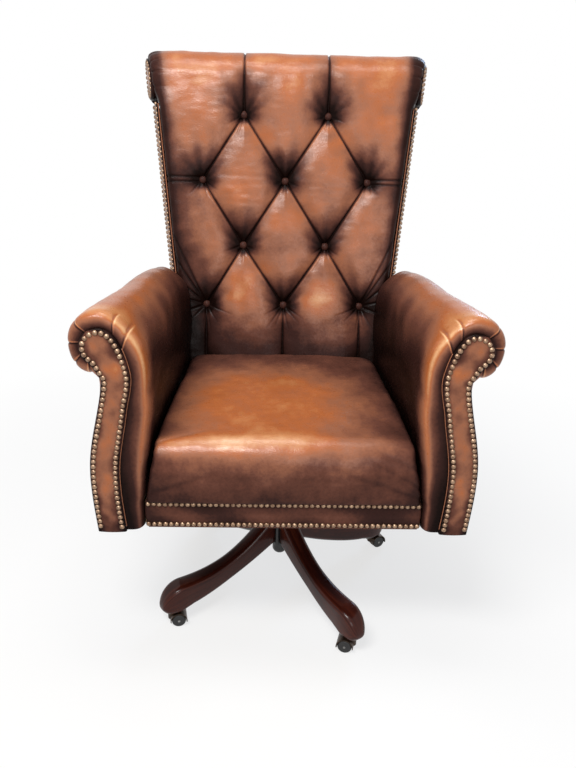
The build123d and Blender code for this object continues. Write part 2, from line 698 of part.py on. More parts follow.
def arm_facing():
    """Front facing of the right arm: a scroll head on a waisted band."""
    roll_x = ARM_ROLL_X[0] - 4
    roll_z = ARM_ROLL_Z[0] - 6
    bottom = seat_bottom - ARM_DROP
    outer = ARM_FLANK[0] - 3
    foot = ARM_OUTER_FOOT[0] - 2
    waist = outer - FACING_BAND
    neck_x = ARM_NECK[0] + 2
    head = FACING_HEAD
    neck = (neck_x, roll_z - head * 1.75)
    inner_neck = (roll_x - head - FACING_NECK_STEP, roll_z - head * 1.3)
    inner_waist = (roll_x - head - FACING_WAIST_STEP, roll_z - head * 3.6)
    edges = [Line((foot - FACING_BAND, bottom), (foot, bottom)),
             Spline((foot, bottom), (outer, bottom + FACING_BELLY_HEIGHT), neck,
                    tangents=[(0.1, 1), (-0.1, 1)]),
             Line(neck, (roll_x + head * 0.5, roll_z - head * 0.866)),
             ThreePointArc((roll_x + head * 0.5, roll_z - head * 0.866), (roll_x + head, roll_z),
                           (roll_x, roll_z + head)),
             Spline((roll_x, roll_z + head), inner_neck, inner_waist, (waist, bottom + FACING_BELLY_HEIGHT),
                    (foot - FACING_BAND, bottom), tangents=[(-1, 0), (-0.1, -1)])]
    face = Plane((0, -ARM_FRONT, 0), x_dir=(1, 0, 0), z_dir=(0, -1, 0)) * make_face(edges)
    return extrude(face, FACING)


# back, built upright in its own frame

def back_half(z, y):
    return BACK_HALF_WIDTH + BACK_TAPER * z + BACK_FLARE * y


def back_wedge(grow, y0):
    """Everything between the two side planes of the back, each moved out by grow, from y0 to the rear."""
    low = -BACK_FOOT_Z
    high = ROLL_HEIGHT + 3 * ROLL_RADIUS
    y1 = back_depth + 4 * ROLL_RADIUS
    faces = []
    for z in (low, high):
        a = back_half(z, y0) + grow
        b = back_half(z, y1) + grow
        outline = Polyline([(-a, y0), (a, y0), (b, y1), (-b, y1)], close=True)
        faces.append(Pos(0, 0, z) * make_face(outline))
    return loft(faces, ruled=True)


def side_extrude(edges):
    """Side outline, (y, z) of the back's own frame, drawn out across the chair."""
    face = Plane((0, 0, 0), x_dir=(0, 1, 0), z_dir=(1, 0, 0)) * make_face(edges)
    return extrude(face, FAR / 2, both=True)


def roll_cylinder(radius):
    return along_x(radius, -FAR / 2, FAR / 2, ROLL_RADIUS, ROLL_HEIGHT)


def roll_core():
    core = Box(FAR, ROLL_CORE, ROLL_CORE)
    return Pos(0, ROLL_RADIUS, ROLL_HEIGHT) * core


def pleat_face():
    """Pleat section across x, y into the back: pillow curves down to a narrow floor."""
    lip = -2.0
    bulge = (0.42 * PLEAT_HALF_WIDTH, 0.3 * PLEAT_DEPTH)
    left = ThreePointArc((-PLEAT_HALF_WIDTH, lip), (-bulge[0], bulge[1]), (-PLEAT_FLOOR, PLEAT_DEPTH))
    right = ThreePointArc((PLEAT_FLOOR, PLEAT_DEPTH), bulge, (PLEAT_HALF_WIDTH, lip))
    return make_face([left, Line((-PLEAT_FLOOR, PLEAT_DEPTH), (PLEAT_FLOOR, PLEAT_DEPTH)), right,
                      Line((PLEAT_HALF_WIDTH, lip), (-PLEAT_HALF_WIDTH, lip))])


def straight_pleat(start, end):
    """Pleat from start to end, both (x, z) on the front face."""
    dx = end[0] - start[0]
    dz = end[1] - start[1]
    place = Plane((start[0], 0, start[1]), x_dir=(-dz, 0, dx), z_dir=(dx, 0, dz))
    across = place.y_dir.Y
    face = pleat_face() if across > 0 else mirror(pleat_face(), Plane.XZ)
    return extrude(place * face, math.hypot(dx, dz))


def roll_pleat(x):
    """Pleat that follows the front face over the roll."""
    axis = Axis((0, ROLL_RADIUS, ROLL_HEIGHT), (-1, 0, 0))
    face = Plane((x, 0, ROLL_HEIGHT), x_dir=(1, 0, 0), z_dir=(0, 0, 1)) * pleat_face()
    return revolve(face, axis, 150)


def dimple():
    """Hollow round a button, opening to the front."""
    lip = -2.0
    bend = (BUTTON_RADIUS + 0.3 * (DIMPLE_RADIUS - BUTTON_RADIUS), 0.42 * DIMPLE_DEPTH)
    floor = (BUTTON_RADIUS + 1, DIMPLE_DEPTH)
    edges = [Line((0, lip), (0, DIMPLE_DEPTH)), Line((0, DIMPLE_DEPTH), floor),
             ThreePointArc(floor, bend, (DIMPLE_RADIUS, lip)), Line((DIMPLE_RADIUS, lip), (0, lip))]
    return revolve(make_face(edges), Axis.Y)


def button_places():
    return [(x, z) for z, row in BUTTON_ROWS for x in row]


def pleat_lines():
    """Ends of the straight pleats: diagonals between rows, then out to the seat, the sides and the roll."""
    lines = []
    for (z0, upper), (z1, lower) in zip(BUTTON_ROWS, BUTTON_ROWS[1:]):
        reach = min(abs(a - b) for a in upper for b in lower) * 1.4
        lines += [((a, z0), (b, z1)) for a in upper for b in lower if abs(a - b) < reach]
    z, row = BUTTON_ROWS[0]
    lines += [((x, z), (x, ROLL_HEIGHT)) for x in row]
    z, row = BUTTON_ROWS[-1]
    lines += [((x, z), (x, BACK_LOW - 20)) for x in row]
    z, row = BUTTON_ROWS[1]
    lines += [((x, z), (x + math.copysign(150, x), z)) for x in row if x]
    return lines


def back_cushion():
    pad = slab(-FAR / 2, FAR / 2, 0, BACK_PAD, BACK_LOW, ROLL_HEIGHT)
    body = pad + roll_cylinder(ROLL_RADIUS)
    body -= roll_core()
    body &= back_wedge(0, -50)
    body -= [straight_pleat(a, b) for a, b in pleat_lines()]
    body -= [roll_pleat(x) for x in BUTTON_ROWS[0][1]]
    body -= [Pos(x, 0, z) * dimple() for x, z in button_places()]
    return body


def back_buttons():
    button = Cylinder(BUTTON_RADIUS, BUTTON_HEIGHT)
    button = fillet(button.edges().sort_by(Axis.Z)[-1], BUTTON_HEIGHT * 0.7)
    seat = DIMPLE_DEPTH - BUTTON_HEIGHT / 2
    return [back_frame * Pos(x, seat, z) * Rot(90, 0, 0) * button for x, z in button_places()]


def frame_top():
    """Height where the back frame meets the underside of the roll."""
    return ROLL_HEIGHT - ROLL_RADIUS - 2


def back_posts():
    strip = slab(-FAR / 2, FAR / 2, BACK_PAD, back_depth, -BACK_FOOT_Z, frame_top())
    posts = strip & (back_wedge(-POST_INSET, -50) - back_wedge(-POST_INSET - POST_WIDTH, -60))
    posts = back_frame * posts
    return posts - slab(-FAR, FAR, -FAR, FAR, -FAR, rail_top)


def back_rails():
    """Cross rails between the posts, and the timber core of the roll."""
    inside = back_wedge(-POST_INSET - POST_WIDTH, -50)
    rails = [slab(-FAR / 2, FAR / 2, BACK_PAD, back_depth, z, z + BACK_RAIL_HEIGHT) & inside
             for z in (10, frame_top() / 2, frame_top() - BACK_RAIL_HEIGHT)]
    rails.append(roll_core() & back_wedge(0, -50))
    return [back_frame * rail for rail in rails]


def back_rear_panel():
    sheet = slab(-FAR / 2, FAR / 2, back_depth, back_depth + BACK_PANEL, -BACK_FOOT_Z, frame_top() + 4)
    sheet = sheet & back_wedge(0, -50)
    sheet -= roll_cylinder(ROLL_RADIUS + SOFT_GAP)
    return back_frame * sheet - slab(-FAR, FAR, -FAR, FAR, -FAR, seat_bottom - ARM_DROP)


def back_facing():
    """Right side facing: a scroll head on a straight band."""
    head = ROLL_RADIUS - SIDE_FACING_INSET
    front = SIDE_FACING_INSET
    rear = back_depth
    lean = rear - ROLL_RADIUS
    join = ROLL_HEIGHT - math.sqrt(head * head - lean * lean)
    behind = (ROLL_RADIUS + head, ROLL_HEIGHT)
    under = (ROLL_RADIUS + head * 0.9, ROLL_HEIGHT - head * math.sqrt(1 - 0.81))
    edges = [Line((front, SIDE_FACING_LOW), (front, ROLL_HEIGHT)),
             ThreePointArc((front, ROLL_HEIGHT), (ROLL_RADIUS, ROLL_HEIGHT + head), behind),
             ThreePointArc(behind, under, (rear, join)),
             Line((rear, join), (rear, SIDE_FACING_LOW)),
             Line((rear, SIDE_FACING_LOW), (front, SIDE_FACING_LOW))]
    both = side_extrude(edges) & (back_wedge(SIDE_FACING, -60) - back_wedge(0, -70))
    both += roll_cylinder(head) & (back_wedge(SIDE_FACING + SCROLL_STEP, -60) - back_wedge(0, -70))
    right = both & slab(0, FAR, -FAR, FAR, -FAR, FAR)
    return back_frame * right


def both_hands(name, shape):
    save(f"{name[0]}_right{name[1]}", shape)
    save(f"{name[0]}_left{name[1]}", mirror(shape, Plane.YZ))


def group(shapes):
    return Compound(children=[solid for shape in shapes for solid in shape.solids()])


def main():
    os.makedirs("parts", exist_ok=True)
    save("base_hub", base_hub())
    leg = leg_blank()
    hood, axle, wheels = castor_pieces()
    for index, (name, heading) in enumerate(zip(LEG_NAMES, CASTOR_HEADINGS)):
        save(f"leg_{name}", leg_heading(index) * leg)
        centre = leg_heading(index) * Pos(castor_reach, 0, 0)
        place = Pos(*centre.position) * Rot(0, 0, heading)
        save(f"castor_{name}_hood", place * hood)
        save(f"castor_{name}_axle", place * axle)
        save(f"castor_{name}_wheels", group([place * wheel for wheel in wheels]))
    save("leg_studs", group(all_studs()))
    save("lift_tube", lift_tube())
    save("lift_tube_cap", lift_tube_cap())
    save("guide_key", guide_key())
    save("castor_sockets", group(castor_sockets()))
    save("thrust_washer", ring(THRUST_WASHER_RADIUS, SPINDLE_RADIUS + LOOSE_FIT, THRUST_WASHER, flange_top))
    save("height_wheel", height_wheel())
    save("spindle", spindle())
    save("swivel_bearing", ring(COLLAR_RADIUS, JOURNAL_RADIUS, BEARING_HEIGHT, bearing_low))
    save("circlip", circlip())
    save("tilt_yoke", tilt_yoke())
    save("pivot_pin", pivot_pin())
    save("spring_cup_lower", lower_cup())
    save("spring_cup_upper", upper_cup())
    save("tilt_spring", tilt_spring())
    save("tension_knob", tension_knob())
    save("tension_bolt", tension_bolt())
    save("tilt_plate", tilt_plate())
    save("plate_bolts", group(plate_bolts()))
    save("front_rail", cross_rail(-RAIL_FRONT_REACH, -RAIL_FRONT_REACH + RAIL_THICKNESS))
    save("rear_rail", cross_rail(RAIL_REAR_REACH - RAIL_THICKNESS, RAIL_REAR_REACH))
    save("side_rails", group(side_rails()))
    save("corner_blocks", group(corner_blocks()))
    save("seat_bearers", group(seat_bearers()))
    save("seat_webbing", seat_webbing())
    save("dust_cover", dust_cover())
    save("front_border", front_border())
    save("seat_cushion", seat_cushion())
    both_hands(("arm", ""), arm_pad())
    both_hands(("arm", "_frame"), arm_frame())
    both_hands(("arm", "_facing"), arm_facing())
    save("back_cushion", back_frame * back_cushion())
    save("back_buttons", group(back_buttons()))
    save("back_posts", group([back_posts()]))
    save("back_rails", group(back_rails()))
    save("back_rear_panel", back_rear_panel())
    both_hands(("back", "_facing"), back_facing())


main()
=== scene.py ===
from math import tau

import bmesh
import bpy
import numpy as np
from numpy import arctan2, array, clip, concatenate, cos, cross, exp, hypot, linspace, maximum, minimum
from numpy import pi, radians, sin, sqrt, zeros_like
from numpy.linalg import norm
from mathutils import Matrix, Vector


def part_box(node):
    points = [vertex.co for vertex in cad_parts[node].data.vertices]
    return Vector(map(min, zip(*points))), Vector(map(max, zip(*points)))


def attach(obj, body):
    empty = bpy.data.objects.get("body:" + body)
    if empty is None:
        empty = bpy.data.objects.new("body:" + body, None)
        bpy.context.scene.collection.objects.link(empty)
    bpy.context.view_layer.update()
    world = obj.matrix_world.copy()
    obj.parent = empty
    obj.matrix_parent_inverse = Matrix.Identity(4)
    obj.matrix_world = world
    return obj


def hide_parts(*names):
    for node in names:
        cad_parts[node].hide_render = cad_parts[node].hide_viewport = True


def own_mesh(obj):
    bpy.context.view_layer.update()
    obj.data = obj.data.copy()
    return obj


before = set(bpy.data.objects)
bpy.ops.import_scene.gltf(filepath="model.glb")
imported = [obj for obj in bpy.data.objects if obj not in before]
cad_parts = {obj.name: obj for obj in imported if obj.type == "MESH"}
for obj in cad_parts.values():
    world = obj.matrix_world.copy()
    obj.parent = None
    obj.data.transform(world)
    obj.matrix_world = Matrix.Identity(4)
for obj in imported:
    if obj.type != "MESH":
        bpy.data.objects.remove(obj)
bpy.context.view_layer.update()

MM = 0.001  # sizes are in millimetres; pieces are scaled once, when their mesh is made

# back: its own upright axes are depth (to the rear) and height (up the front), leaned back about its foot
RECLINE = radians(14.5)
BACK_FOOT = (165, 492)
BACK_HALF_WIDTH = 217
BACK_TAPER = 0.104
BACK_FLARE = 0.19
BACK_LOW = -88
BACK_DEPTH = 86
BACK_EDGE = 15
BACK_SKIRT = 14
BACK_PADDING = 34
BACK_GRID = (520, 310)
REAR_PANEL = 6
REAR_PANEL_LOW = -147
REAR_PANEL_EDGE = 5
REAR_PANEL_GRID = (180, 140)
ROLL_RADIUS = 61
ROLL_HEIGHT = 606
ROLL_WRAP = radians(240)
ROLL_BULGE = 12  # the roll's leather swells out at its ends to meet the head
ROLL_TUCKS = (-22, 8, 36, 66, 95, 126, 158, 190)  # pleats at the roll's ends, degrees round it
SIDE_FACING = 6
SIDE_FACING_INSET = 17
SIDE_FACING_LOW = 40
SIDE_FACING_SHARE = 0.9  # part of the height below the round head
SCROLL_STEP = 7  # the round head stands proud of the side facing
BUTTON_ROWS = ((529, (-92, 92)), (389, (-182, 0, 182)), (248, (-91, 91)), (116, (-172, 0, 172)))
BUTTON_RADIUS = 8.6
BUTTON_SEAT = 19  # depth of the button's rim below the panels
BUTTON_DOME = ((0.95, 4), (1, 1.5), (0.97, -1), (0.82, -3.2), (0.54, -4.8), (0.2, -5.6))
BUTTON_SIDES = 28
# how dark the buttons are drawn
BUTTON_DARKNESS = 0.62
PLEAT_DEPTH = 8
PLEAT_SPREAD = 42
FOLD_DEPTH = 5
FOLD_WIDTH = 1.8
LIP = 1.1  # the lower panel's leather stands proud beside a pleat
CREASE_DEPTH = 2.6
HOLLOW_DEPTH = 6
HOLLOW_SPREAD = 74
GATHERS = (-66, -40, -14, 12, 37, 63)  # small folds that fan out below a button, degrees from straight down
GATHER_DEPTH = 2.2
GATHER_REACH = 24
LOW_GATHER_REACH = 46
SAGS = ((-92, -9), (-86, 10), (-96, 30), (-88, 48), (92, 12), (86, 26), (98, 44))  # across, below row two

# arms: pairs are (front, rear) values, run from ARM_FRONT to ARM_SHOULDER_END
ARM_FRONT = -290
ARM_SHOULDER_END = 200
ARM_TAIL = 300
ARM_TAIL_FALL = 62
ARM_FOOT = (258, 216)
ARM_WAIST = (252, 211)
ARM_WAIST_RISE = 66
ARM_SHOULDER = (236, 203)
ARM_ROLL_X = (320, 270)
ARM_ROLL_Z = (692, 662)
ARM_ROLL_RADIUS = (50, 34)
ARM_NECK = (314, 262)
ARM_NECK_DROP = 1.32  # in scroll radii
ARM_FLANK = (349, 290)
ARM_BELLY_HEIGHT = 118
ARM_BEND = 0.71  # share of the way from the scroll's top to the shoulder
SCROLL_END = -82
ARM_OUTER_FOOT = (341, 284)
ARM_BULLNOSE = 24  # depth over which the padding rolls onto the front facing
ARM_PUFF = 4  # the stuffing swells the scroll behind its facing
ARM_TUCKS = (158, 124, 40, -3, -44, -76)  # pleats round the scroll, degrees above the outward level
ARM_STATIONS = (22, 130)  # on the bullnose, behind it
OUTLINE_COUNTS = (12, 100, 90, 160)
TUCK_LENGTH = 40
FACING = 7
FACING_BAND = 52
FACING_HEAD = 34
FACING_BELLY_HEIGHT = 130
FACING_DROPS = (1.75, 1.3, 3.6)  # outer neck, inner neck and waist, in radii of the head
FACING_NECK_STEP = 15
FACING_WAIST_STEP = 5
FACING_EDGE = 3
FACING_SWELLS = (2.4, 1.5, 2)  # arm, side of the back, round head
FACING_RIM = array((0, 0.012, 0.03, 0.055, 0.085))

# seat
SEAT_NOSE = 13
SEAT_CREST = 36
SEAT_SIDE_DROP = 11
SEAT_REAR_CORNER = 26
SEAT_SKIRT = 34
SEAT_PADDING = 62
SEAT_GRID = (280, 240)
SEAT_PULLS = (((150, 96), (262, 30)), ((168, 112), (272, 62)), ((205, 60), (258, 8)), ((90, 78), (236, 22)),
              ((-236, 150), (-280, 96)), ((-150, 168), (-270, 112)), ((-120, 70), (-240, 24)))
BORDER_CORNER = 4
BORDER_DEPTH = 6
BORDER_GRID = (50, 200)

# trim
NAIL_PITCH = 10.2
NAIL_RADIUS = 4.8
NAIL_HEIGHT = 3.8
NAIL_INSET = 7
BORDER_NAIL_INSET = 6.5
WELT_RADIUS = 1.2
WELT_SIDES = 8

# base
LEG_NAMES = ("front_right", "back_right", "back_left", "front_left")
BASE_TURN = -57
LEG_ROOT = 26
LEG_REACH = 298
TOE_LENGTH = 52
LEG_WIDTH = 38
TOE_WIDTH = 46
TOE_HEIGHT = 61
ANKLE_RISE = 5
LEG_EDGE = 11
LEG_ROOT_DEPTH = 75
LEG_ROOT_STEP = 17
GRAIN_SHIFT = 37  # moves each leg to its own patch of grain

SPRING_TURNS = 4
SPRING_WIRE = 2.6
CLOTH_GRID = 90
CLOTH_SAG = 3

# looks: a darkness value in the range below runs over the leather's shades, from a painted highlight below
# 0 through tan to nearly black; it carries painted shade and painted highlights as well as mottling
WEAR_AND_LIGHT_RANGE = (-0.4, 1)
LEATHER_SHADES = ((0, "#dcaf80"), (0.18, "#b87a4c"), (0.286, "#a45b2f"), (0.43, "#8f5a40"),
                  (0.586, "#623c30"), (0.757, "#36201c"), (1, "#120806"))
LEATHER_DRIFT = 0.09  # how far clouds and specks move the leather's darkness value
LEATHER_CLOUD = 90.91
LEATHER_SPECK = 6.25
LEATHER_CREASE = 11.11
LEATHER_PEBBLE = 1.923  # finer on real hide, drawn coarse enough to show
TIMBER_SHADES = ((0.25, "#1d0805"), (0.5, "#38130b"), (0.75, "#542415"))
TIMBER_GRAIN = (111.1, 6.25)  # along and across; finer in real timber, drawn coarse enough to show

# setting: the camera's turns are pitch, yaw and roll in degrees, and its focal length is in picture pixels;
# floor and lamps are in metres: a lamp's name, place, target, size, power and colour
CAMERA_PLACE = (-37.3, -1623, 1199.5)
CAMERA_TURNS = (23.4, 1.66, -1.48)
FOCAL_LENGTH = 849.8
PICTURE_HEIGHT = 768
SENSOR = 36
FLOOR_HALF = 9
LAMPS = (("key", (-0.7, -1.6, 2.6), (0, 0, 0.7), (1.2, 0.5), 60),
         ("top", (-0.1, -0.2, 2.9), (0, 0, 0.6), (1.2, 0.8), 24),
         ("front", (0.5, -2.4, 1.3), (0, 0, 0.6), (1, 0.8), 12),
         ("window", (1.5, 2.7, 1.9), (0.2, 0, 0.75), (0.8, 1), 24, "#bcd8ff"))


def box_mm(node):
    low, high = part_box(node)
    return array(low) / MM, array(high) / MM


border_low, border_high = box_mm("front_border")
border_front = border_low[1]
cushion_low = border_high[2]
crown_z = box_mm("seat_cushion")[1][2]
plate_high = box_mm("tilt_plate")[1]
hub_high = box_mm("base_hub")[1]
arm_bottom = box_mm("arm_right")[0][2]


# small tools

def srgb(code):
    """Linear colour from a hex code."""
    values = [int(code[i:i + 2], 16) / 255 for i in (1, 3, 5)]
    return [v / 12.92 if v <= 0.04045 else ((v + 0.055) / 1.055) ** 2.4 for v in values] + [1.0]


def unit(value):
    return clip(value, 0, 1)


def bell(value, width):
    """1 at zero, falling off over width."""
    return exp(-(value / width) ** 2)


def points_of(*values):
    """Points from their coordinates, arrays or single numbers."""
    return np.stack(np.broadcast_arrays(*values), axis=-1)


def circle(count):
    return linspace(0, tau, count, endpoint=False)


def ripple(points, length, seed):
    """Smooth random field, about -1 to 1, with features about length apart."""
    source = np.random.default_rng(seed)
    waves = 12
    total = 0
    for _ in range(waves):
        way = source.normal(size=points.shape[-1])
        way *= tau * source.uniform(0.6, 1.5) / (length * norm(way))
        total = total + cos(points @ way + source.uniform(0, tau))
    return total / sqrt(waves)


def distances(line):
    """Distance along a line to each point."""
    return concatenate([[0], np.cumsum(norm(np.diff(line, axis=0), axis=1))])


def evenly(line, count):
    """The same line in count equal steps."""
    place = distances(line)
    even = linspace(0, place[-1], count)
    return np.stack([np.interp(even, place, column) for column in line.T], axis=1)


def smooth_line(points, count, start_way, end_way):
    """Curve of count points through points, with given directions at its ends."""
    points = array(points, float)
    place = distances(points)
    chord = np.diff(place)
    slope = np.gradient(points, place, axis=0)
    slope[[0, -1]] = [way / norm(way) for way in array((start_way, end_way))]
    fine = linspace(0, place[-1], 12 * count)
    piece = clip(np.searchsorted(place, fine, side="right") - 1, 0, len(chord) - 1)
    step = chord[piece][:, None]
    share = ((fine - place[piece]) / chord[piece])[:, None]
    curve = ((2 * share ** 3 - 3 * share ** 2 + 1) * points[piece]
             + (share ** 3 - 2 * share ** 2 + share) * step * slope[piece]
             + (3 * share ** 2 - 2 * share ** 3) * points[piece + 1]
             + (share ** 3 - share ** 2) * step * slope[piece + 1])
    return evenly(curve, count)


def arc(centre, radius, start, end, count):
    """Part of a circle, start and end in degrees."""
    turn = radians(linspace(start, end, count))
    return points_of(centre[0] + radius * cos(turn), centre[1] + radius * sin(turn))


def joined(*lines):
    """One line from lines that meet end to start."""
    return concatenate([lines[0]] + [line[1:] for line in lines[1:]])


def headings(line, closed=False):
    """Unit vectors along a line."""
    if closed:
        way = np.roll(line, -1, axis=0) - np.roll(line, 1, axis=0)
    else:
        way = np.gradient(line, axis=0)
    return way / norm(way, axis=1)[:, None]


def left_of(line, closed=False):
    """Unit vectors to the left of a flat line."""
    way = headings(line, closed)
    return points_of(-way[:, 1], way[:, 0])


def along_arm(pair, y):
    """A (front, rear) value at y."""
    return pair[0] + (pair[1] - pair[0]) * (y - ARM_FRONT) / (ARM_SHOULDER_END - ARM_FRONT)


def back_half(depth, height):
    return BACK_HALF_WIDTH + BACK_TAPER * height + BACK_FLARE * depth


def back_yz(depth, height):
    """Chair y and z from the back's own axes."""
    return (BACK_FOOT[0] + height * sin(RECLINE) + depth * cos(RECLINE),
            BACK_FOOT[1] + height * cos(RECLINE) - depth * sin(RECLINE))


def back_axes(y, z):
    """Depth and height on the back's own axes."""
    dy = y - BACK_FOOT[0]
    dz = z - BACK_FOOT[1]
    return dy * cos(RECLINE) - dz * sin(RECLINE), dy * sin(RECLINE) + dz * cos(RECLINE)


def merged(pipes):
    """Points and faces of closed pipes with flat ends, each an array of rings."""
    points = []
    faces = []
    for rings in pipes:
        index = len(points) + np.arange(rings[..., 0].size).reshape(rings.shape[:2])
        after = np.roll(index, -1, axis=1)
        faces += points_of(index[:-1], after[:-1], after[1:], index[1:]).reshape(-1, 4).tolist()
        faces += [index[0][::-1].tolist(), index[-1].tolist()]
        points += rings.reshape(-1, 3).tolist()
    return points, faces


def add_object(name, data):
    made = bpy.data.objects.new(name, data)
    bpy.context.scene.collection.objects.link(made)
    return made


def make_piece(name, points, faces, material, body, wear_and_painted_light=None, uv=None):
    """Mesh object from millimetre points.

    the darkness value darkens the leather with painted shade and mottling, and below 0 it paints a
    highlight; uv is one (u, v) for each point.
    """
    mesh = bpy.data.meshes.new(name)
    mesh.from_pydata((np.asarray(points) * MM).tolist(), [], faces)
    shape = bmesh.new()
    shape.from_mesh(mesh)
    bmesh.ops.recalc_face_normals(shape, faces=shape.faces)
    shape.to_mesh(mesh)
    shape.free()
    mesh.shade_smooth()
    mesh.materials.append(material)
    if wear_and_painted_light is not None:
        shades = np.broadcast_to(clip(wear_and_painted_light, *WEAR_AND_LIGHT_RANGE).ravel(), len(points))
        layer = mesh.attributes.new("wear_and_painted_light", "FLOAT", "POINT")
        layer.data.foreach_set("value", shades.astype(np.float32))
    if uv is not None:
        corner = np.zeros(len(mesh.loops), np.int32)
        mesh.loops.foreach_get("vertex_index", corner)
        layer = mesh.uv_layers.new(name="grain")
        layer.data.foreach_set("uv", (uv[corner] * MM).astype(np.float32).ravel())
    piece = add_object(name, mesh)
    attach(piece, body)
    return piece


# materials

def fill(node, inputs):
    """Sets inputs to values or links them to sockets."""
    for key, value in inputs.items():
        if isinstance(value, bpy.types.NodeSocket):
            node.id_data.links.new(value, node.inputs[key])
        else:
            node.inputs[key].default_value = value


def add_node(tree, kind, output=None, inputs=None, stops=(), **settings):
    """Adds a node with its settings, (place, hex code) colour stops and inputs.

    Gives the output of that name, or the node itself where none is named.
    """
    node = tree.nodes.new(kind)
    for key, value in settings.items():
        setattr(node, key, value)
    if stops:
        colours = node.color_ramp.elements
        while len(colours) < len(stops):
            colours.new(0.5)
        for element, (place, code) in zip(colours, stops):
            element.position = place
            element.color = srgb(code)
    fill(node, inputs or {})
    return node.outputs[output] if output else node


def new_material(name):
    """A material, its node tree and its shader."""
    material = bpy.data.materials.new(name)
    material.use_nodes = True
    return material, material.node_tree, material.node_tree.nodes["Principled BSDF"]


def per_metre(size):
    """A pattern's scale, from the size of its features."""
    return 1 / (size * MM)


def burnished_leather():
    """Waxed hide, finely pebbled: tan with painted highlights on the crowns, painted shade to nearly black
    in the folds, and mottling.
    """
    material, tree, surface = new_material("burnished_leather")
    place = add_node(tree, "ShaderNodeTexCoord", "Object")
    shade = add_node(tree, "ShaderNodeAttribute", "Fac", attribute_name="wear_and_painted_light")
    cloud = add_node(tree, "ShaderNodeTexNoise", "Fac",
                     {"Vector": place, "Scale": per_metre(LEATHER_CLOUD), "Detail": 6.0, "Roughness": 0.62})
    speck = add_node(tree, "ShaderNodeTexNoise", "Fac",
                     {"Vector": place, "Scale": per_metre(LEATHER_SPECK), "Detail": 4.0})
    for pattern in (cloud, speck):
        drift = add_node(tree, "ShaderNodeMapRange", "Result",
                         {"Value": pattern, "To Min": -LEATHER_DRIFT, "To Max": LEATHER_DRIFT})
        shade = add_node(tree, "ShaderNodeMath", "Value", {0: shade, 1: drift}, operation="ADD")
    dark = add_node(tree, "ShaderNodeMapRange", "Result",
                    {"Value": shade, "From Min": WEAR_AND_LIGHT_RANGE[0], "From Max": WEAR_AND_LIGHT_RANGE[1]})
    colour = add_node(tree, "ShaderNodeValToRGB", "Color", {"Fac": dark}, LEATHER_SHADES)
    polish = add_node(tree, "ShaderNodeMapRange", "Result",
                      {"Value": dark, "From Min": 0.1, "From Max": 0.62, "To Min": 0.55, "To Max": 0.05})
    rough = add_node(tree, "ShaderNodeMapRange", "Result", {"Value": speck, "To Min": 0.2, "To Max": 0.4})
    pebble = add_node(tree, "ShaderNodeTexVoronoi", "Distance",
                      {"Vector": place, "Scale": per_metre(LEATHER_PEBBLE)}, feature="SMOOTH_F1")
    crease = add_node(tree, "ShaderNodeTexNoise", "Fac",
                      {"Vector": place, "Scale": per_metre(LEATHER_CREASE), "Detail": 6.0})
    grain = add_node(tree, "ShaderNodeMath", "Value", {0: crease, 1: pebble}, operation="ADD")
    relief = add_node(tree, "ShaderNodeBump", "Normal",
                      {"Strength": 0.25, "Distance": 0.0008, "Height": grain})
    fill(surface, {"Base Color": colour, "Specular IOR Level": polish, "Roughness": rough,
                   "Normal": relief})
    return material


def mahogany():
    """Dark red polished timber: long fine grain under a deep lacquer."""
    material, tree, surface = new_material("mahogany")
    flat = add_node(tree, "ShaderNodeUVMap", "UV", uv_map="grain")
    scale = (per_metre(TIMBER_GRAIN[0]), per_metre(TIMBER_GRAIN[1]), 1.0)
    place = add_node(tree, "ShaderNodeMapping", "Vector", {"Vector": flat, "Scale": scale})
    grain = add_node(tree, "ShaderNodeTexNoise", "Fac",
                     {"Vector": place, "Scale": 1.0, "Detail": 6.0, "Distortion": 0.6})
    colour = add_node(tree, "ShaderNodeValToRGB", "Color", {"Fac": grain}, TIMBER_SHADES)
    relief = add_node(tree, "ShaderNodeBump", "Normal",
                      {"Strength": 0.06, "Distance": 0.0005, "Height": grain})
    fill(surface, {"Base Color": colour, "Roughness": 0.3, "Specular IOR Level": 0.12, "Coat Weight": 0.2,
                   "Coat Roughness": 0.06, "Normal": relief})
    return material


def worn(name, light, dark, metallic, roughness, size):
    """Metal, paint, plastic or timber with soft blotches of a size between two shades."""
    material, tree, surface = new_material(name)
    place = add_node(tree, "ShaderNodeTexCoord", "Object")
    wear = add_node(tree, "ShaderNodeTexNoise", "Fac",
                    {"Vector": place, "Scale": per_metre(size), "Detail": 5.0, "Roughness": 0.65})
    colour = add_node(tree, "ShaderNodeValToRGB", "Color", {"Fac": wear}, ((0.32, dark), (0.68, light)))
    rough = add_node(tree, "ShaderNodeMapRange", "Result",
                     {"Value": wear, "To Min": roughness + 0.12, "To Max": roughness - 0.1})
    relief = add_node(tree, "ShaderNodeBump", "Normal",
                      {"Strength": 0.08, "Distance": 0.0003, "Height": wear})
    fill(surface, {"Base Color": colour, "Metallic": metallic, "Roughness": rough, "Normal": relief})
    return material


def woven(name, light, dark, pitch):
    """Plain-weave cloth, threads pitch millimetres apart."""
    material, tree, surface = new_material(name)
    inputs = {"Vector": add_node(tree, "ShaderNodeTexCoord", "Object"), "Scale": per_metre(tau * pitch)}
    threads = [add_node(tree, "ShaderNodeTexWave", "Fac", inputs, bands_direction=way)
               for way in ("X", "Y")]
    cloth = add_node(tree, "ShaderNodeMath", "Value", dict(enumerate(threads)), operation="MULTIPLY")
    colour = add_node(tree, "ShaderNodeValToRGB", "Color", {"Fac": cloth}, ((0.0, dark), (1.0, light)))
    relief = add_node(tree, "ShaderNodeBump", "Normal",
                      {"Strength": 0.3, "Distance": 0.0004, "Height": cloth})
    fill(surface, {"Base Color": colour, "Roughness": 0.9, "Specular IOR Level": 0.2, "Normal": relief})
    return material


leather = burnished_leather()
red_timber = mahogany()
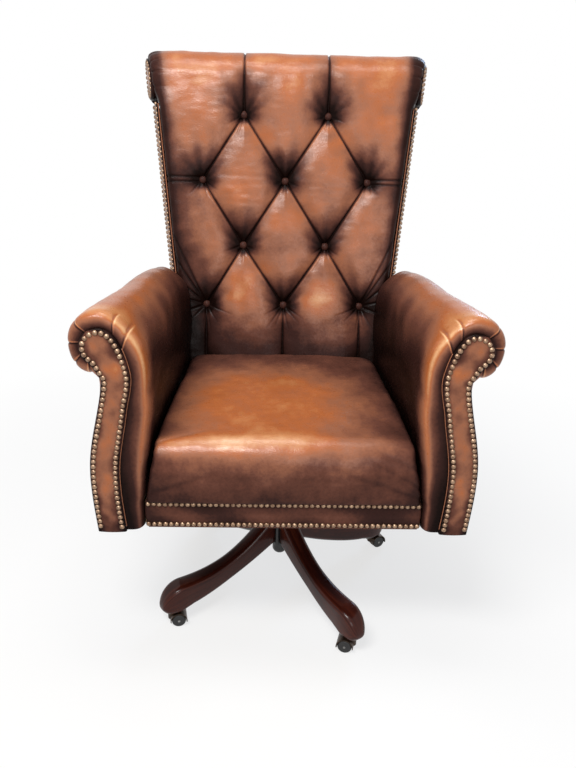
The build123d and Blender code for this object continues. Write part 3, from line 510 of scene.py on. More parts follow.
# pressed brass gone dull: brownish gold with darker blotches
brass = worn("antique_brass", "#b3967c", "#6a5040", 1.0, 0.4, 7.143)
# enamelled steel: an even satin black
black_steel = worn("black_enamelled_steel", "#1b1a1a", "#0c0b0b", 0.0, 0.34, 16.67)
# machined steel: light grey with a soft shine
bright_steel = worn("bright_steel", "#9a9895", "#5d5b59", 1.0, 0.36, 11.11)
# coiled wire under oil: dark grey
spring_steel = worn("oiled_spring_steel", "#4a4643", "#211f1e", 1.0, 0.4, 11.11)
# pressed hoods under bronze paint: dark brown with a dim glint
bronze = worn("bronze_painted_steel", "#4b3a2c", "#241a14", 0.7, 0.36, 9.091)
# moulded wheels and knob: dull black
black_plastic = worn("black_moulded_plastic", "#1a1918", "#0e0d0d", 0.0, 0.5, 6.667)
# planed beech without varnish: pale brown and matt
frame_timber = worn("beech_frame", "#b08a5c", "#8a6a44", 0.0, 0.65, 28.57)
# coarse straw-brown threads
webbing = woven("jute_webbing", "#8d7650", "#54442c", 2.5)
# black threads, finer in real cloth and drawn coarse enough to show
black_cloth = woven("black_lining_cloth", "#211f1f", "#0d0c0c", 1.2)


# leather over padding

def leather_piece(name, pipes, wear_and_painted_light):
    """Piece of leather on the seat body from closed pipes."""
    piece = make_piece(name, *merged(pipes), leather, "seat", wear_and_painted_light)
    return piece


def wrapped_pad(name, line, inward, half, slope, edge, skirt, columns, relief, depth, bulge=0.0):
    """Closed padded piece: a sheet along line (y, z), rounded over both sides by edge and down by skirt.

    half is the half-width at each row, slope how fast it grows inwards, bulge how far the sides swell out.
    relief gives the sheet's dents and its darkness value, with painted shade and highlights, from places
    across and along it, and how far inside its flat they are.
    """
    rows = len(line)
    sizes = (half, slope, edge, bulge)
    half, slope, edge, bulge = (np.broadcast_to(size, rows)[:, None] for size in sizes)
    flat = half + slope * edge - edge
    straight = flat + edge * pi / 2
    share = linspace(-1, 1, columns)
    across = share * (straight + skirt)
    travel = abs(across)
    turn = clip((travel - flat) / edge, 0, pi / 2)
    drop = maximum(0, travel - straight)
    x = minimum(travel, flat) + (edge + bulge) * sin(turn) + slope * drop
    down = edge * (1 - cos(turn)) + drop
    place = np.broadcast_to(distances(line)[:, None], across.shape)
    dent, wear_and_painted_light = relief(across, place, flat - travel)
    x = np.sign(share) * (x - dent * sin(turn))
    down = down + dent * cos(turn)
    x = concatenate([x, half - 6, 6 - half], axis=1)
    down = concatenate([down, np.full((rows, 2), depth)], axis=1)
    wear_and_painted_light = concatenate([wear_and_painted_light, np.ones((rows, 2))], axis=1)
    y, z = line.T[:, :, None] + down * inward.T[:, :, None]
    return leather_piece(name, [points_of(x, y, z)], wear_and_painted_light)


def along_line(across, up, start, end):
    """For places on a sheet: distance from a line, share of its length, distance to its lower side."""
    dx = end[0] - start[0]
    dy = end[1] - start[1]
    length = hypot(dx, dy)
    share = ((across - start[0]) * dx + (up - start[1]) * dy) / length ** 2
    side = ((across - start[0]) * dy - (up - start[1]) * dx) / length
    past = length * maximum(0, maximum(-share, share - 1))
    return hypot(side, past), unit(share), side * np.sign(dx)


def creases(across, up, lines, first, last, width):
    """Creases along lines (start, end), from first to last in depth."""
    found = [along_line(across, up, *ends) for ends in lines]
    return np.max([(first + (last - first) * share) * bell(gap, width) for gap, share, _ in found], axis=0)


def back_pleats():
    """Pleats as (start, end, strength), each place (across, up the sheet), upper end first."""
    lines = []
    for (z0, upper), (z1, lower) in zip(BUTTON_ROWS, BUTTON_ROWS[1:]):
        near = 1.4 * min(abs(a - b) for a in upper for b in lower)
        lines += [((a, z0), (b, z1), 1.0) for a in upper for b in lower if abs(a - b) < near]
    z, row = BUTTON_ROWS[0]
    lines += [((x, ROLL_HEIGHT + ROLL_RADIUS * 3.6), (x, z), 0.9) for x in row]
    z, row = BUTTON_ROWS[-1]
    lines += [((x, z), (x, BACK_LOW), 0.9) for x in row]
    return lines


def side_creases():
    """Shallow creases from the outer buttons to the sides."""
    z, row = BUTTON_ROWS[1]
    lines = [((x, z + lift), (x * 1.7, z + 1.5 * lift)) for x in row if x for lift in (4.5, -4.5)]
    z, row = BUTTON_ROWS[-1]
    for x in (row[0], row[-1]):
        lines += [((x, z), (x * 1.42, z + rise)) for rise in (150, 105, 62, 18, -26)]
    return lines


def pleat_relief(across, up):
    """Dents of the pleats, lips beside them, and painted shade in and beside the folds."""
    dent = zeros_like(across)
    lip = zeros_like(across)
    shade = zeros_like(across)
    below_roll = clip(1.15 - (up - 560) / 70, 0.12, 1)
    for start, end, strength in back_pleats():
        gap, share, lower = along_line(across, up, start, end)
        soft = PLEAT_DEPTH * unit(1 - gap / PLEAT_SPREAD) ** 2 * below_roll
        dent = maximum(dent, strength * (soft + FOLD_DEPTH * bell(gap, FOLD_WIDTH)))
        lip += (1 - share) * unit(8 * share) * bell(lower - 4.5, 2.0) * (abs(lower) > 0)
        # painted shade beside each pleat, widening towards its lower end, and painted shade along the fold
        crease_shade = (0.12 + 0.5 * share ** 2) * exp(-gap / (6 + 26 * share))
        shade = maximum(shade, strength * (crease_shade + 0.55 * bell(gap, 1.9)))
    return dent, lip, shade


def gathers(number, gap, fan, length):
    """Small folds fanned out below one button."""
    gather = zeros_like(gap)
    for count, turn in enumerate(radians(GATHERS)):
        turn += 0.12 * cos(3 * number + 2 * count)
        reach = length + 10 * cos(5 * number + 3 * count)
        fade = unit((gap - 7) / 5) * unit(1 - (gap - 12) / reach) * (cos(fan - turn) > 0)
        gather = maximum(gather, fade * bell(gap * sin(fan - turn), 1.9))
    return gather


def button_relief(across, up):
    """Hollows at the buttons, gathers, and painted light: painted shade above each, a painted highlight
    just below.
    """
    hollow = zeros_like(across)
    gather = zeros_like(across)
    shade = zeros_like(across)
    for number, (x, z) in enumerate((x, z) for z, row in BUTTON_ROWS for x in row):
        dx = across - x
        dz = up - z
        gap = hypot(dx, dz)
        hollow = maximum(hollow, HOLLOW_DEPTH * unit(1 - gap / HOLLOW_SPREAD) ** 2 + 5 * bell(gap, 12))
        reach = LOW_GATHER_REACH if z == BUTTON_ROWS[-1][0] else GATHER_REACH
        gather = maximum(gather, gathers(number, gap, arctan2(dx, -dz), reach))
        above = maximum(dz, 0)
        shade_above = exp(-(dx / (29 + 0.5 * above)) ** 2 - above / 62 - (minimum(dz, 0) / 17) ** 2)
        shade_above *= 1 + 0.16 * cos(13 * arctan2(dx, above + 6) + number) * unit(gap / 30)
        # painted shade above the button and a painted highlight just below it
        shade += 0.8 * shade_above - 0.26 * bell(dx, 15) * bell(dz + 24, 12)
    return hollow, gather, shade


def roll_end_relief(up, inside):
    """Tucks where the leather turns in at the roll's ends."""
    dent = zeros_like(up)
    for number, turn in enumerate(radians(ROLL_TUCKS)):
        gap = abs(up - (ROLL_HEIGHT + ROLL_RADIUS * turn))
        fade = unit(0.25 - inside / (45 + 9 * cos(3.7 * number)))
        dent = maximum(dent, fade * (2.2 * bell(gap, 2.4) + 2.0 * unit(1 - gap / 15) ** 2))
    return dent


def slack_relief(across, up, spot):
    """Slow waves, fine wrinkles, and sagging folds under the second row of buttons."""
    dent = 0.9 * ripple(spot, 150, 3) + 0.3 * ripple(spot, 46, 4)
    dent += 0.09 * ripple(spot * array((0.3, 1.0)), 17, 5)
    for number, (x, drop) in enumerate(SAGS):
        sag = up - BUTTON_ROWS[1][0] + drop + 0.04 * (across - x) * cos(2 * number)
        dent += 0.5 * exp(-(sag / 6) ** 2 - ((across - x) / (62 - 0.7 * drop)) ** 4)
    return dent


def back_relief(across, along, inside):
    """Deep buttoning, with painted shade towards the rim, low down and in the creases, and painted
    highlights on the lips and along the roll's crest.
    """
    up = along + BACK_LOW
    spot = points_of(across, up)
    pleat, lip, pleat_shade = pleat_relief(across, up)
    hollow, gather, button_shade = button_relief(across, up)
    crease = creases(across, up, side_creases(), 1.0, 0.5, 2.3)
    dent = pleat + hollow + CREASE_DEPTH * crease + GATHER_DEPTH * gather - LIP * lip + 1.0
    dent += roll_end_relief(up, inside) + slack_relief(across, up, spot)
    fade = 14 + 20 * unit(2.6 - up / 200) * clip(0.6 - across / 400, 0.15, 1)
    rim_shade = exp(-maximum(0, inside + 4) / fade)
    # painted highlight along the roll's crest, strongest to the left
    worn = bell(up - ROLL_HEIGHT - 22, 34) * unit(inside / 40) * clip(0.9 - across / 300, -0.6, 1)
    # painted shade in creases and gathers, a painted highlight on the lips, painted shade at the rim and
    # low down where arms and seat meet the back; the ripples are mottling
    shade = pleat_shade + button_shade + 0.35 * crease + 0.25 * gather - 0.12 * lip
    shade += 0.8 * rim_shade + 0.8 * unit(1 - up / 130) - 0.1 * worn - 0.05
    shade += 0.08 * ripple(spot, 120, 6) + 0.03 * ripple(spot, 40, 7)
    return dent, shade


def make_back():
    """The buttoned cover, up the front and round the roll."""
    length = linspace(BACK_LOW, ROLL_HEIGHT + ROLL_RADIUS * ROLL_WRAP, BACK_GRID[0])
    turn = maximum(0, (length - ROLL_HEIGHT) / ROLL_RADIUS)
    depth = ROLL_RADIUS * (1 - cos(turn))
    height = minimum(length, ROLL_HEIGHT) + ROLL_RADIUS * sin(turn)
    line = points_of(*back_yz(depth, height))
    ahead = points_of(*back_yz(depth + cos(turn), height - sin(turn)))
    slope = BACK_FLARE * cos(turn) - BACK_TAPER * sin(turn)
    swell = unit((length - ROLL_HEIGHT + ROLL_RADIUS + 6) / 56)
    bulge = ROLL_BULGE * swell ** 2 * (3 - 2 * swell)
    cover = wrapped_pad("back_cover", line, ahead - line, back_half(depth, height), slope, BACK_EDGE,
                        BACK_SKIRT, BACK_GRID[1], back_relief, BACK_PADDING, bulge)
    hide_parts("back_cushion")


def make_buttons():
    """Leather-covered domes at the bottom of the hollows."""
    radius, rise = array(BUTTON_DOME).T[:, :, None]
    turns = circle(BUTTON_SIDES)
    across = BUTTON_RADIUS * radius * cos(turns)
    up = BUTTON_RADIUS * radius * sin(turns)
    domes = [points_of(x + across, *back_yz(BUTTON_SEAT + rise, height + up))
             for height, row in BUTTON_ROWS for x in row]
    buttons = leather_piece("leather_buttons", domes, BUTTON_DARKNESS)
    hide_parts("back_buttons")


def seat_relief(across, along, inside):
    """Crown that falls to the sides and pulls to the front corners; a painted highlight along the crest,
    painted shade at the rim, down the front face and in the pulls.
    """
    spot = points_of(across, along)
    front = unit(1 - along / 95)
    dent = SEAT_SIDE_DROP * clip(abs(across) / 240, 0, 1.1) ** 2.4 * (1 - front)
    pull = creases(across, along, SEAT_PULLS, 0.35, 1.0, 5)
    slack = 1.2 * ripple(spot, 190, 12) + 0.3 * ripple(spot, 55, 13)
    slack += 0.06 * ripple(spot * array((0.3, 1)), 17, 14)
    # darker away from a patch left of the middle: partly the hide's own tone, partly painted shade
    away = hypot((across + 36) / 206, (along - 300) / np.where(along < 300, 260, 190))
    shade = 0.5 * unit((away - 0.5) / 0.75) * unit((along - 70) / 60)
    # painted shade at the rim, down the front face, at its foot and in the pulls
    shade += 0.35 * exp(-maximum(0, inside + 14) / 16) + 0.46 * unit(1.6 - along / 100) ** 1.3
    shade += 0.16 * unit(1 - along / 50) + 0.1 * pull
    shade += 0.04 * ripple(spot, 90, 15) + 0.02 * ripple(spot, 34, 16)
    # painted highlight along the crest, strongest to the left
    shade -= clip(0.38 - across / 1200, 0.24, 0.56) * bell(along - 127, 26)
    return dent + 1.3 * pull + slack, shade


def make_seat():
    """The cover, up the front, over the crest and to the back."""
    crest = border_front + SEAT_CREST
    nose = border_front - SEAT_NOSE
    rear = BACK_FOOT[0] + 6
    middle = cushion_low + 0.45 * (crown_z - cushion_low)
    turn = radians(linspace(0, 90, 40))
    share = linspace(0, 1, 60)
    lower = points_of(nose + 8 - 8 * sin(turn),
                      cushion_low - 2 + (middle - cushion_low + 2) * (1 - cos(turn)))
    upper = points_of(crest - (crest - nose) * cos(turn), middle + (crown_z - middle) * sin(turn))
    top = points_of(crest + (rear - crest) * share, crown_z + 3 * sin(pi * share) - 5 * share ** 3)
    line = evenly(joined(lower, upper, top), SEAT_GRID[0])
    round_rear = unit((line[:, 0] - rear + SEAT_REAR_CORNER) / SEAT_REAR_CORNER)
    half = along_arm(ARM_WAIST, line[:, 0]) + 1 - SEAT_REAR_CORNER * (1 - sqrt(1 - round_rear ** 2)) * 0.6
    soft = 9 + 13 * unit((line[:, 1] - cushion_low - 12) / 70)
    cushion = wrapped_pad("seat_cover", line, -left_of(line), half, 0.0, soft, SEAT_SKIRT, SEAT_GRID[1],
                          seat_relief, SEAT_PADDING)
    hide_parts("seat_cushion")


def border_relief(across, along, inside):
    """A slight puff, darker towards edges and ends."""
    spot = points_of(across, along)
    dent = -1.4 * bell(along - 34, 16) + 0.3 * ripple(spot, 60, 21)
    shade = 0.5 + 0.2 * abs(along - 30) / 30 + 0.12 * abs(across) / 240
    return dent, shade + 0.08 * ripple(spot, 120, 22)


def make_border():
    """The leather band along the front rail."""
    low = border_low[2] + BORDER_CORNER
    high = border_high[2] - BORDER_CORNER
    front = border_front + BORDER_CORNER
    back = border_front + BORDER_DEPTH
    line = joined([(back, border_low[2]), (front, border_low[2])],
                  arc((front, low), BORDER_CORNER, -90, -180, 8),
                  [(border_front, low), (border_front, high)],
                  arc((front, high), BORDER_CORNER, 180, 90, 8),
                  [(front, border_high[2]), (back, border_high[2])])
    line = evenly(line, BORDER_GRID[0])
    border = wrapped_pad("front_border_band", line, -left_of(line), border_high[0], 0.0, 2.0, 1.0,
                         BORDER_GRID[1], border_relief, 2.5)
    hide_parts("front_border")


def rear_relief(across, along, inside):
    """A soft puff inside the panel's edge, which is darker."""
    edge = maximum(0, inside + 9)
    dent = -2.5 * unit(edge / 60) ** 0.8 + 0.8 * ripple(points_of(across, along), 170, 31)
    return dent, 0.35 + 0.5 * exp(-edge / 30)


def make_rear_panel():
    """The plain panel behind the back, below its roll."""
    height = linspace(REAR_PANEL_LOW, ROLL_HEIGHT - ROLL_RADIUS + 4, REAR_PANEL_GRID[0])
    depth = np.full_like(height, BACK_DEPTH + REAR_PANEL)
    line = points_of(*back_yz(depth, height))
    ahead = points_of(*back_yz(depth - 1, height))
    panel = wrapped_pad("rear_panel_leather", line, ahead - line, back_half(depth, height), -BACK_FLARE,
                        REAR_PANEL_EDGE, 1.0, REAR_PANEL_GRID[1], rear_relief, REAR_PANEL)
    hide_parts("back_rear_panel")


# arms and facings

def facing_lines():
    """Right arm facing, anticlockwise: bottom, outer edge, head, inner edge."""
    head = array((ARM_ROLL_X[0] - 4, ARM_ROLL_Z[0] - 6))
    outer = ARM_FLANK[0] - 3
    foot = ARM_OUTER_FOOT[0] - 2
    neck_z, inner_neck_z, waist_z = head[1] - FACING_HEAD * array(FACING_DROPS)
    neck = (ARM_NECK[0] + 2, neck_z)
    inner_neck = (head[0] - FACING_HEAD - FACING_NECK_STEP, inner_neck_z)
    inner_waist = (head[0] - FACING_HEAD - FACING_WAIST_STEP, waist_z)
    bottom = array([(foot - FACING_BAND, arm_bottom), (foot, arm_bottom)])
    belly = arm_bottom + FACING_BELLY_HEIGHT
    side = smooth_line([(foot, arm_bottom), (outer, belly), neck], 90, (0.1, 1), (-0.1, 1))
    scroll = arc(head, FACING_HEAD, -60, 90, 60)
    inner = smooth_line([scroll[-1], inner_neck, inner_waist, (outer - FACING_BAND, belly), bottom[0]],
                        150, (-1, 0), (-0.1, -1))
    return bottom, np.vstack([side, scroll[:1]]), scroll, inner


def arm_roll(y):
    """Middle of the scroll at y."""
    fall = ARM_TAIL_FALL * max(0, (y - ARM_SHOULDER_END) / (ARM_TAIL - ARM_SHOULDER_END))
    fall += 9 * unit((y - 90) / 100) ** 2
    return array((along_arm(ARM_ROLL_X, y), along_arm(ARM_ROLL_Z, y) - fall))


def arm_outline(y):
    """Right arm cut across at y, anticlockwise: bottom, outer flank, scroll, inner face."""
    pairs = (ARM_FOOT, ARM_WAIST, ARM_SHOULDER, ARM_ROLL_RADIUS, ARM_NECK, ARM_FLANK, ARM_OUTER_FOOT)
    foot, waist, shoulder, radius, neck, flank, outer_foot = (along_arm(pair, y) for pair in pairs)
    roll = arm_roll(y)
    shoulder_z = roll[1] - 2 * radius
    top = (roll[0], roll[1] + radius)
    bend = (roll[0] - ARM_BEND * (roll[0] - shoulder), shoulder_z + ARM_BEND * (top[1] - shoulder_z))
    bottom = array([(foot, arm_bottom), (outer_foot, arm_bottom)])
    side = [bottom[1], (flank, arm_bottom + ARM_BELLY_HEIGHT), (neck, roll[1] - ARM_NECK_DROP * radius)]
    outer = smooth_line(side, 90, (0.12, 1), (-0.1, 1))
    scroll = arc(roll, radius, SCROLL_END, 90, 90)
    face = [top, bend, (shoulder, shoulder_z), (waist, cushion_low + ARM_WAIST_RISE), (foot, cushion_low)]
    inner = smooth_line(face, 150, (-1, 0), (0.3, -1))
    return bottom, np.vstack([outer, scroll[:1]]), scroll, np.vstack([inner, bottom[:1]])


def one_outline(lines):
    """Closed outline with fixed counts of points, so that sections match."""
    return concatenate([evenly(line, count)[:-1] for line, count in zip(lines, OUTLINE_COUNTS)])


def arm_tucks(angle, y):
    """Pleats round the scroll: dents, painted shade in each fold and a painted highlight beside it."""
    dent = zeros_like(angle)
    shade = zeros_like(angle)
    for number, tuck in enumerate(ARM_TUCKS):
        gap = abs(angle - tuck) * radians(1) * ARM_ROLL_RADIUS[0]
        fade = unit(1 - (y - ARM_FRONT) / (TUCK_LENGTH + 9 * cos(2.1 * number))) ** 0.6
        fold = bell(gap, 1.7)
        dent = maximum(dent, fade * (2.8 * fold + 1.3 * unit(1 - gap / 13) ** 2))
        # painted shade in the fold and a painted highlight on its edge
        shade = shade + fade * (0.5 * fold - 0.55 * bell(angle - tuck - 3.6, 1.5))
    return dent, shade


def arm_painted_light(x, y, z, roll, growth):
    """Mostly painted light: painted shade towards the facing, low down, on the outer flank, towards the
    rear and on the inner face under the scroll, a painted highlight along the bullnose, and lighter just
    behind the front, high up.
    """
    low = unit(1 - (z - arm_bottom) / 260)
    inner = unit((roll[0] + 2 - x) / 48)
    under = unit((roll[1] + 34 - z) / 125)
    deep = unit((y - ARM_FRONT + 8) / 62)
    outer = unit((x - roll[0] - 12) / 40)
    shade = 0.08 + 0.75 * (1 - growth ** 0.5) ** 1.5 + 0.5 * low ** 1.5 + 0.25 * outer
    # painted shade on the inner face under the scroll and a painted highlight strip along the bullnose
    shade += 0.95 * inner * under ** 0.8 * deep - 0.36 * inner * bell(growth - 0.62, 0.2)
    # painted shade towards the rear; lighter just behind the front, high up
    return shade + 0.22 * unit((y + 60) / 240) - 0.22 * bell(y - ARM_FRONT - 30, 34) * (1 - low)


def arm_section(face_outline, y, growth):
    """Ring and darkness value of the arm at y, mostly painted light; growth is 0 at the facing's outline, 1
    in full.
    """
    roll = arm_roll(y)
    outline = one_outline(arm_outline(y))
    away = outline - roll
    on_scroll = unit(2.4 - norm(away, axis=1) / ARM_ROLL_RADIUS[0])
    angle = np.degrees(arctan2(away[:, 1], away[:, 0]))
    outline = face_outline + (outline - face_outline) * growth ** (0.5 - 0.05 * on_scroll)[:, None]
    x, z = outline.T
    spot = points_of(x, y, z)
    tuck, tuck_shade = arm_tucks(angle, y)
    puff = ARM_PUFF * bell(y - ARM_FRONT - ARM_BULLNOSE, 130) * (1 + 3 * bell(angle + 64, 36))
    dent = on_scroll * (tuck - puff) + 0.9 * ripple(spot, 140, 41) + 0.3 * ripple(spot, 45, 42)
    shade = arm_painted_light(x, y, z, roll, growth) + on_scroll * tuck_shade + 0.05 * ripple(spot, 80, 43)
    x, z = (outline + left_of(outline, True) * (growth * dent)[:, None]).T
    return points_of(x, y, z), shade


def make_arm(side, name):
    """One arm, kept clear of the back beside it."""
    face_outline = one_outline(facing_lines())
    turns = radians(linspace(0, 90, ARM_STATIONS[0]))
    stations = [(ARM_FRONT + ARM_BULLNOSE * (1 - cos(turn)), sin(turn)) for turn in turns]
    behind = linspace(ARM_FRONT + ARM_BULLNOSE, ARM_TAIL + 30, ARM_STATIONS[1])[1:]
    stations += [(y, 1.0) for y in behind]
    rings, shades = zip(*(arm_section(face_outline, y, growth) for y, growth in stations))
    x, y, z = np.moveaxis(array(rings), -1, 0)
    depth, height = back_axes(y, z)
    beside = back_half(depth, height) + SIDE_FACING + 1
    x = np.where(depth > -1, maximum(x, beside), x)
    over = maximum(0, depth - BACK_DEPTH - REAR_PANEL)
    rings = points_of(side * x, y - over * cos(RECLINE), z + over * sin(RECLINE))
    arm = leather_piece(f"{name}_cover", [rings], array(shades))
    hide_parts(name)


def strip_panel(first, last, lift, thickness, swell):
    """Rings and darkness value of a leather panel between two edge lines: rounded edges and a slight swell,
    with painted shade towards the edges.

    lift places (a, b, rise) on the chair, rise standing out from what carries the panel.
    """
    share = concatenate([[0], FACING_RIM, linspace(0.12, 0.88, 15), 1 - FACING_RIM[::-1], [1]])
    width = norm(last - first, axis=1)[:, None]
    near = minimum(FACING_EDGE, minimum(share, 1 - share) * width)
    crown = 1 - (2 * share - 1) ** 2
    rise = thickness - FACING_EDGE + sqrt(FACING_EDGE ** 2 - (FACING_EDGE - near) ** 2)
    rise += swell * crown * minimum(1, width / 30)
    rise[:, [0, -1]] = 0
    flat = first[:, None, :] + (last - first)[:, None, :] * share[:, None]
    run = linspace(0, 1, len(first))[:, None]
    # painted shade towards the edges; darker at the foot and at the head
    wear_and_painted_light = 0.16 + 0.72 * (1 - crown) ** 1.1 + 0.3 * unit(1 - run / 0.24) + 0.25 * unit(5 * run - 4)
    wear_and_painted_light = wear_and_painted_light + 0.1 * ripple(flat, 70, 51) + 0.06 * ripple(flat, 28, 52)
    return lift(flat[..., 0], flat[..., 1], rise), wear_and_painted_light


def make_facing(name, strips, node):
    """One piece from strip panels."""
    wear_and_painted_light = concatenate([shade for _, shade in strips])
    panel = leather_piece(name, [rings for rings, _ in strips], wear_and_painted_light)
    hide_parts(node)


def make_welt(name, lines, shade):
    """Leather piping along lines."""
    around = circle(WELT_SIDES)[:, None]
    pipes = []
    for line in lines:
        way = headings(line)
        side = cross(way, (1.0, 0.02, 0.03)) + 1e-6
        side /= norm(side, axis=1)[:, None]
        ring = cos(around) * side[:, None, :] + sin(around) * cross(way, side)[:, None, :]
        pipes.append(line[:, None, :] + WELT_RADIUS * ring)
    leather_piece(name, pipes, shade)


def facing_lift(side):
    """Places (x, z, rise) on an arm's front."""
    return lambda x, z, rise: points_of(side * x, ARM_FRONT - rise, z)


def side_lift(side):
    """Places (depth, height, rise) on the back's side."""
    return lambda depth, height, rise: points_of(side * (back_half(depth, height) + rise),
                                                 *back_yz(depth, height))


def arm_facing_edges():
    """Outer and inner edge of the arm facing, from foot to head."""
    _, outer, scroll, inner = facing_lines()
    apex = len(scroll) - 14
    first = evenly(joined(outer, scroll[:apex]), 150)
    last = evenly(joined(inner[::-1], scroll[apex + 2:][::-1]), 150)
    return first, last


def side_facing_edges():
    """Front and rear edge of the back's side facing, then two halves of its round head."""
    head = ROLL_RADIUS - SIDE_FACING_INSET
    height = linspace(SIDE_FACING_LOW, ROLL_HEIGHT, 120)
    height = height[:int(len(height) * SIDE_FACING_SHARE)]
    left = arc((ROLL_RADIUS, ROLL_HEIGHT), head, 268, 92, 60)
    right = arc((ROLL_RADIUS, ROLL_HEIGHT), head, -88, 88, 60)
    return points_of(SIDE_FACING_INSET, height), points_of(BACK_DEPTH, height), left, right


# nails, one geometry node tree for every row

def nail_tree():
    """Domed nail heads at an even pitch along edges."""
    tree = bpy.data.node_groups.new("nail_row", "GeometryNodeTree")
    for label, kind in (("Geometry", "Geometry"), ("Pitch", "Float"), ("Head radius", "Float"),
                        ("Head height", "Float"), ("Outward", "Vector"), ("Seed", "Int"),
                        ("Metal", "Material")):
        tree.interface.new_socket(label, in_out="INPUT", socket_type="NodeSocket" + kind)
    tree.interface.new_socket("Geometry", in_out="OUTPUT", socket_type="NodeSocketGeometry")

    given = add_node(tree, "NodeGroupInput").outputs
    line = add_node(tree, "GeometryNodeMeshToCurve", "Curve", {"Mesh": given["Geometry"]})
    line = add_node(tree, "GeometryNodeResampleCurve", "Curve", {"Curve": line, "Length": given["Pitch"]},
                    mode="LENGTH")
    ball = add_node(tree, "GeometryNodeMeshUVSphere", "Mesh",
                    {"Segments": 16, "Rings": 10, "Radius": given["Head radius"]})
    flat = add_node(tree, "ShaderNodeMath", "Value", {0: given["Head height"], 1: given["Head radius"]},
                    operation="DIVIDE")
    scale = add_node(tree, "ShaderNodeCombineXYZ", "Vector", {"X": 1.0, "Y": 1.0, "Z": flat})
    dome = add_node(tree, "GeometryNodeTransform", "Geometry", {"Geometry": ball, "Scale": scale})
    facing = add_node(tree, "FunctionNodeAlignRotationToVector", "Rotation",
                      {"Vector": given["Outward"]}, axis="Z")
    size = add_node(tree, "FunctionNodeRandomValue", None,
                    {"Min": 0.95, "Max": 1.05, "Seed": given["Seed"]}, data_type="FLOAT")
    sizes = [socket for socket in size.outputs if socket.type == "VALUE"][0]
    heads = add_node(tree, "GeometryNodeInstanceOnPoints", "Instances",
                     {"Points": line, "Instance": dome, "Rotation": facing, "Scale": sizes})
    solid = add_node(tree, "GeometryNodeRealizeInstances", "Geometry", {"Geometry": heads})
    smooth = add_node(tree, "GeometryNodeSetShadeSmooth", "Geometry", {"Geometry": solid})
    metal = add_node(tree, "GeometryNodeSetMaterial", "Geometry",
                     {"Geometry": smooth, "Material": given["Metal"]})
    add_node(tree, "NodeGroupOutput", None, {"Geometry": metal})
    return tree


nails = nail_tree()


def nail_row(name, lines, outward, seed):
    """Nails along lines, all standing along outward, as one plain mesh."""
    points = concatenate(lines)
    starts = np.cumsum([len(line) for line in lines])
    mesh = bpy.data.meshes.new(name + "_line")
    edges = [(i - 1, i) for i in range(1, len(points)) if i not in starts]
    mesh.from_pydata((points * MM).tolist(), edges, [])
    guide = add_object(name + "_line", mesh)
    rows = guide.modifiers.new("nails", "NODES")
    rows.node_group = nails
    values = {"Pitch": NAIL_PITCH * MM, "Head radius": NAIL_RADIUS * MM, "Head height": NAIL_HEIGHT * MM,
              "Outward": tuple(outward), "Seed": seed, "Metal": brass}
    for socket in nails.interface.items_tree:
        if socket.name in values:
            rows[socket.identifier] = values[socket.name]
    made = bpy.data.meshes.new_from_object(guide.evaluated_get(bpy.context.evaluated_depsgraph_get()))
    bpy.data.objects.remove(guide)
    row = add_object(name, made)
    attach(row, "seat")


def make_arm_trim(side, hand):
    """Facing and nails of one arm; gives its welt line."""
    first, last = arm_facing_edges()
    edge = evenly(joined(first, last[::-1]), 420)
    nail_line = (edge + NAIL_INSET * left_of(edge))[6:-6]
    lift = facing_lift(side)
    strips = [strip_panel(first, last, lift, FACING, FACING_SWELLS[0])]
    make_facing(f"arm_{hand}_facing_panel", strips, f"arm_{hand}_facing")
    nail_row(f"arm_{hand}_nails", [lift(*nail_line.T, FACING + 1.0)], (0, -1, 0), side + 3)
    return lift(*last[3:125].T, 2.5)


def make_side_trim(side, hand):
    """Facing and nails of one side of the back; gives its welt line."""
    front, rear, left, right = side_facing_edges()
    head_line = arc((ROLL_RADIUS, ROLL_HEIGHT), ROLL_RADIUS - SIDE_FACING_INSET - NAIL_INSET, 0, 360, 90)
    head_rise = SIDE_FACING + SCROLL_STEP
    lift = side_lift(side)
    strips = [strip_panel(front, rear, lift, SIDE_FACING, FACING_SWELLS[1]),
              strip_panel(left, right, lift, head_rise, FACING_SWELLS[2])]
    make_facing(f"back_{hand}_facing_panel", strips, f"back_{hand}_facing")
    plane = lift(array((0.0, 1, 0)), array((0.0, 0, 1)), 0)
    outward = cross(plane[1] - plane[0], plane[2] - plane[0])
    outward *= side * np.sign(outward[0]) / norm(outward)
    rows = [lift(line[:, 0] + inset, line[:, 1], SIDE_FACING)
            for line, inset in ((front, NAIL_INSET), (rear, -NAIL_INSET))]
    nail_row(f"back_{hand}_nails", rows + [lift(*head_line.T, head_rise)], outward, side + 6)
    return lift(front[:, 0] - 1, front[:, 1], 2.0)


def make_trim():
    """Facings, nails and welts of both sides, then those of the front border."""
    for side, hand in ((1, "right"), (-1, "left")):
        make_welt(f"{hand}_welts", [make_arm_trim(side, hand), make_side_trim(side, hand)], 0.2)
    half = border_high[0] - NAIL_RADIUS
    rows = [points_of(array((-half, half)), border_front - 0.8, z)
            for z in (border_low[2] + BORDER_NAIL_INSET, border_high[2] - BORDER_NAIL_INSET)]
    nail_row("border_nails", rows, (0, -1, 0), 9)
    across = linspace(-half, half, 60)
    make_welt("border_welt", [points_of(across, border_front - 1.0, z)
                              for z in (border_low[2] + 1.2, border_high[2] + 0.4)], 0.5)


# base

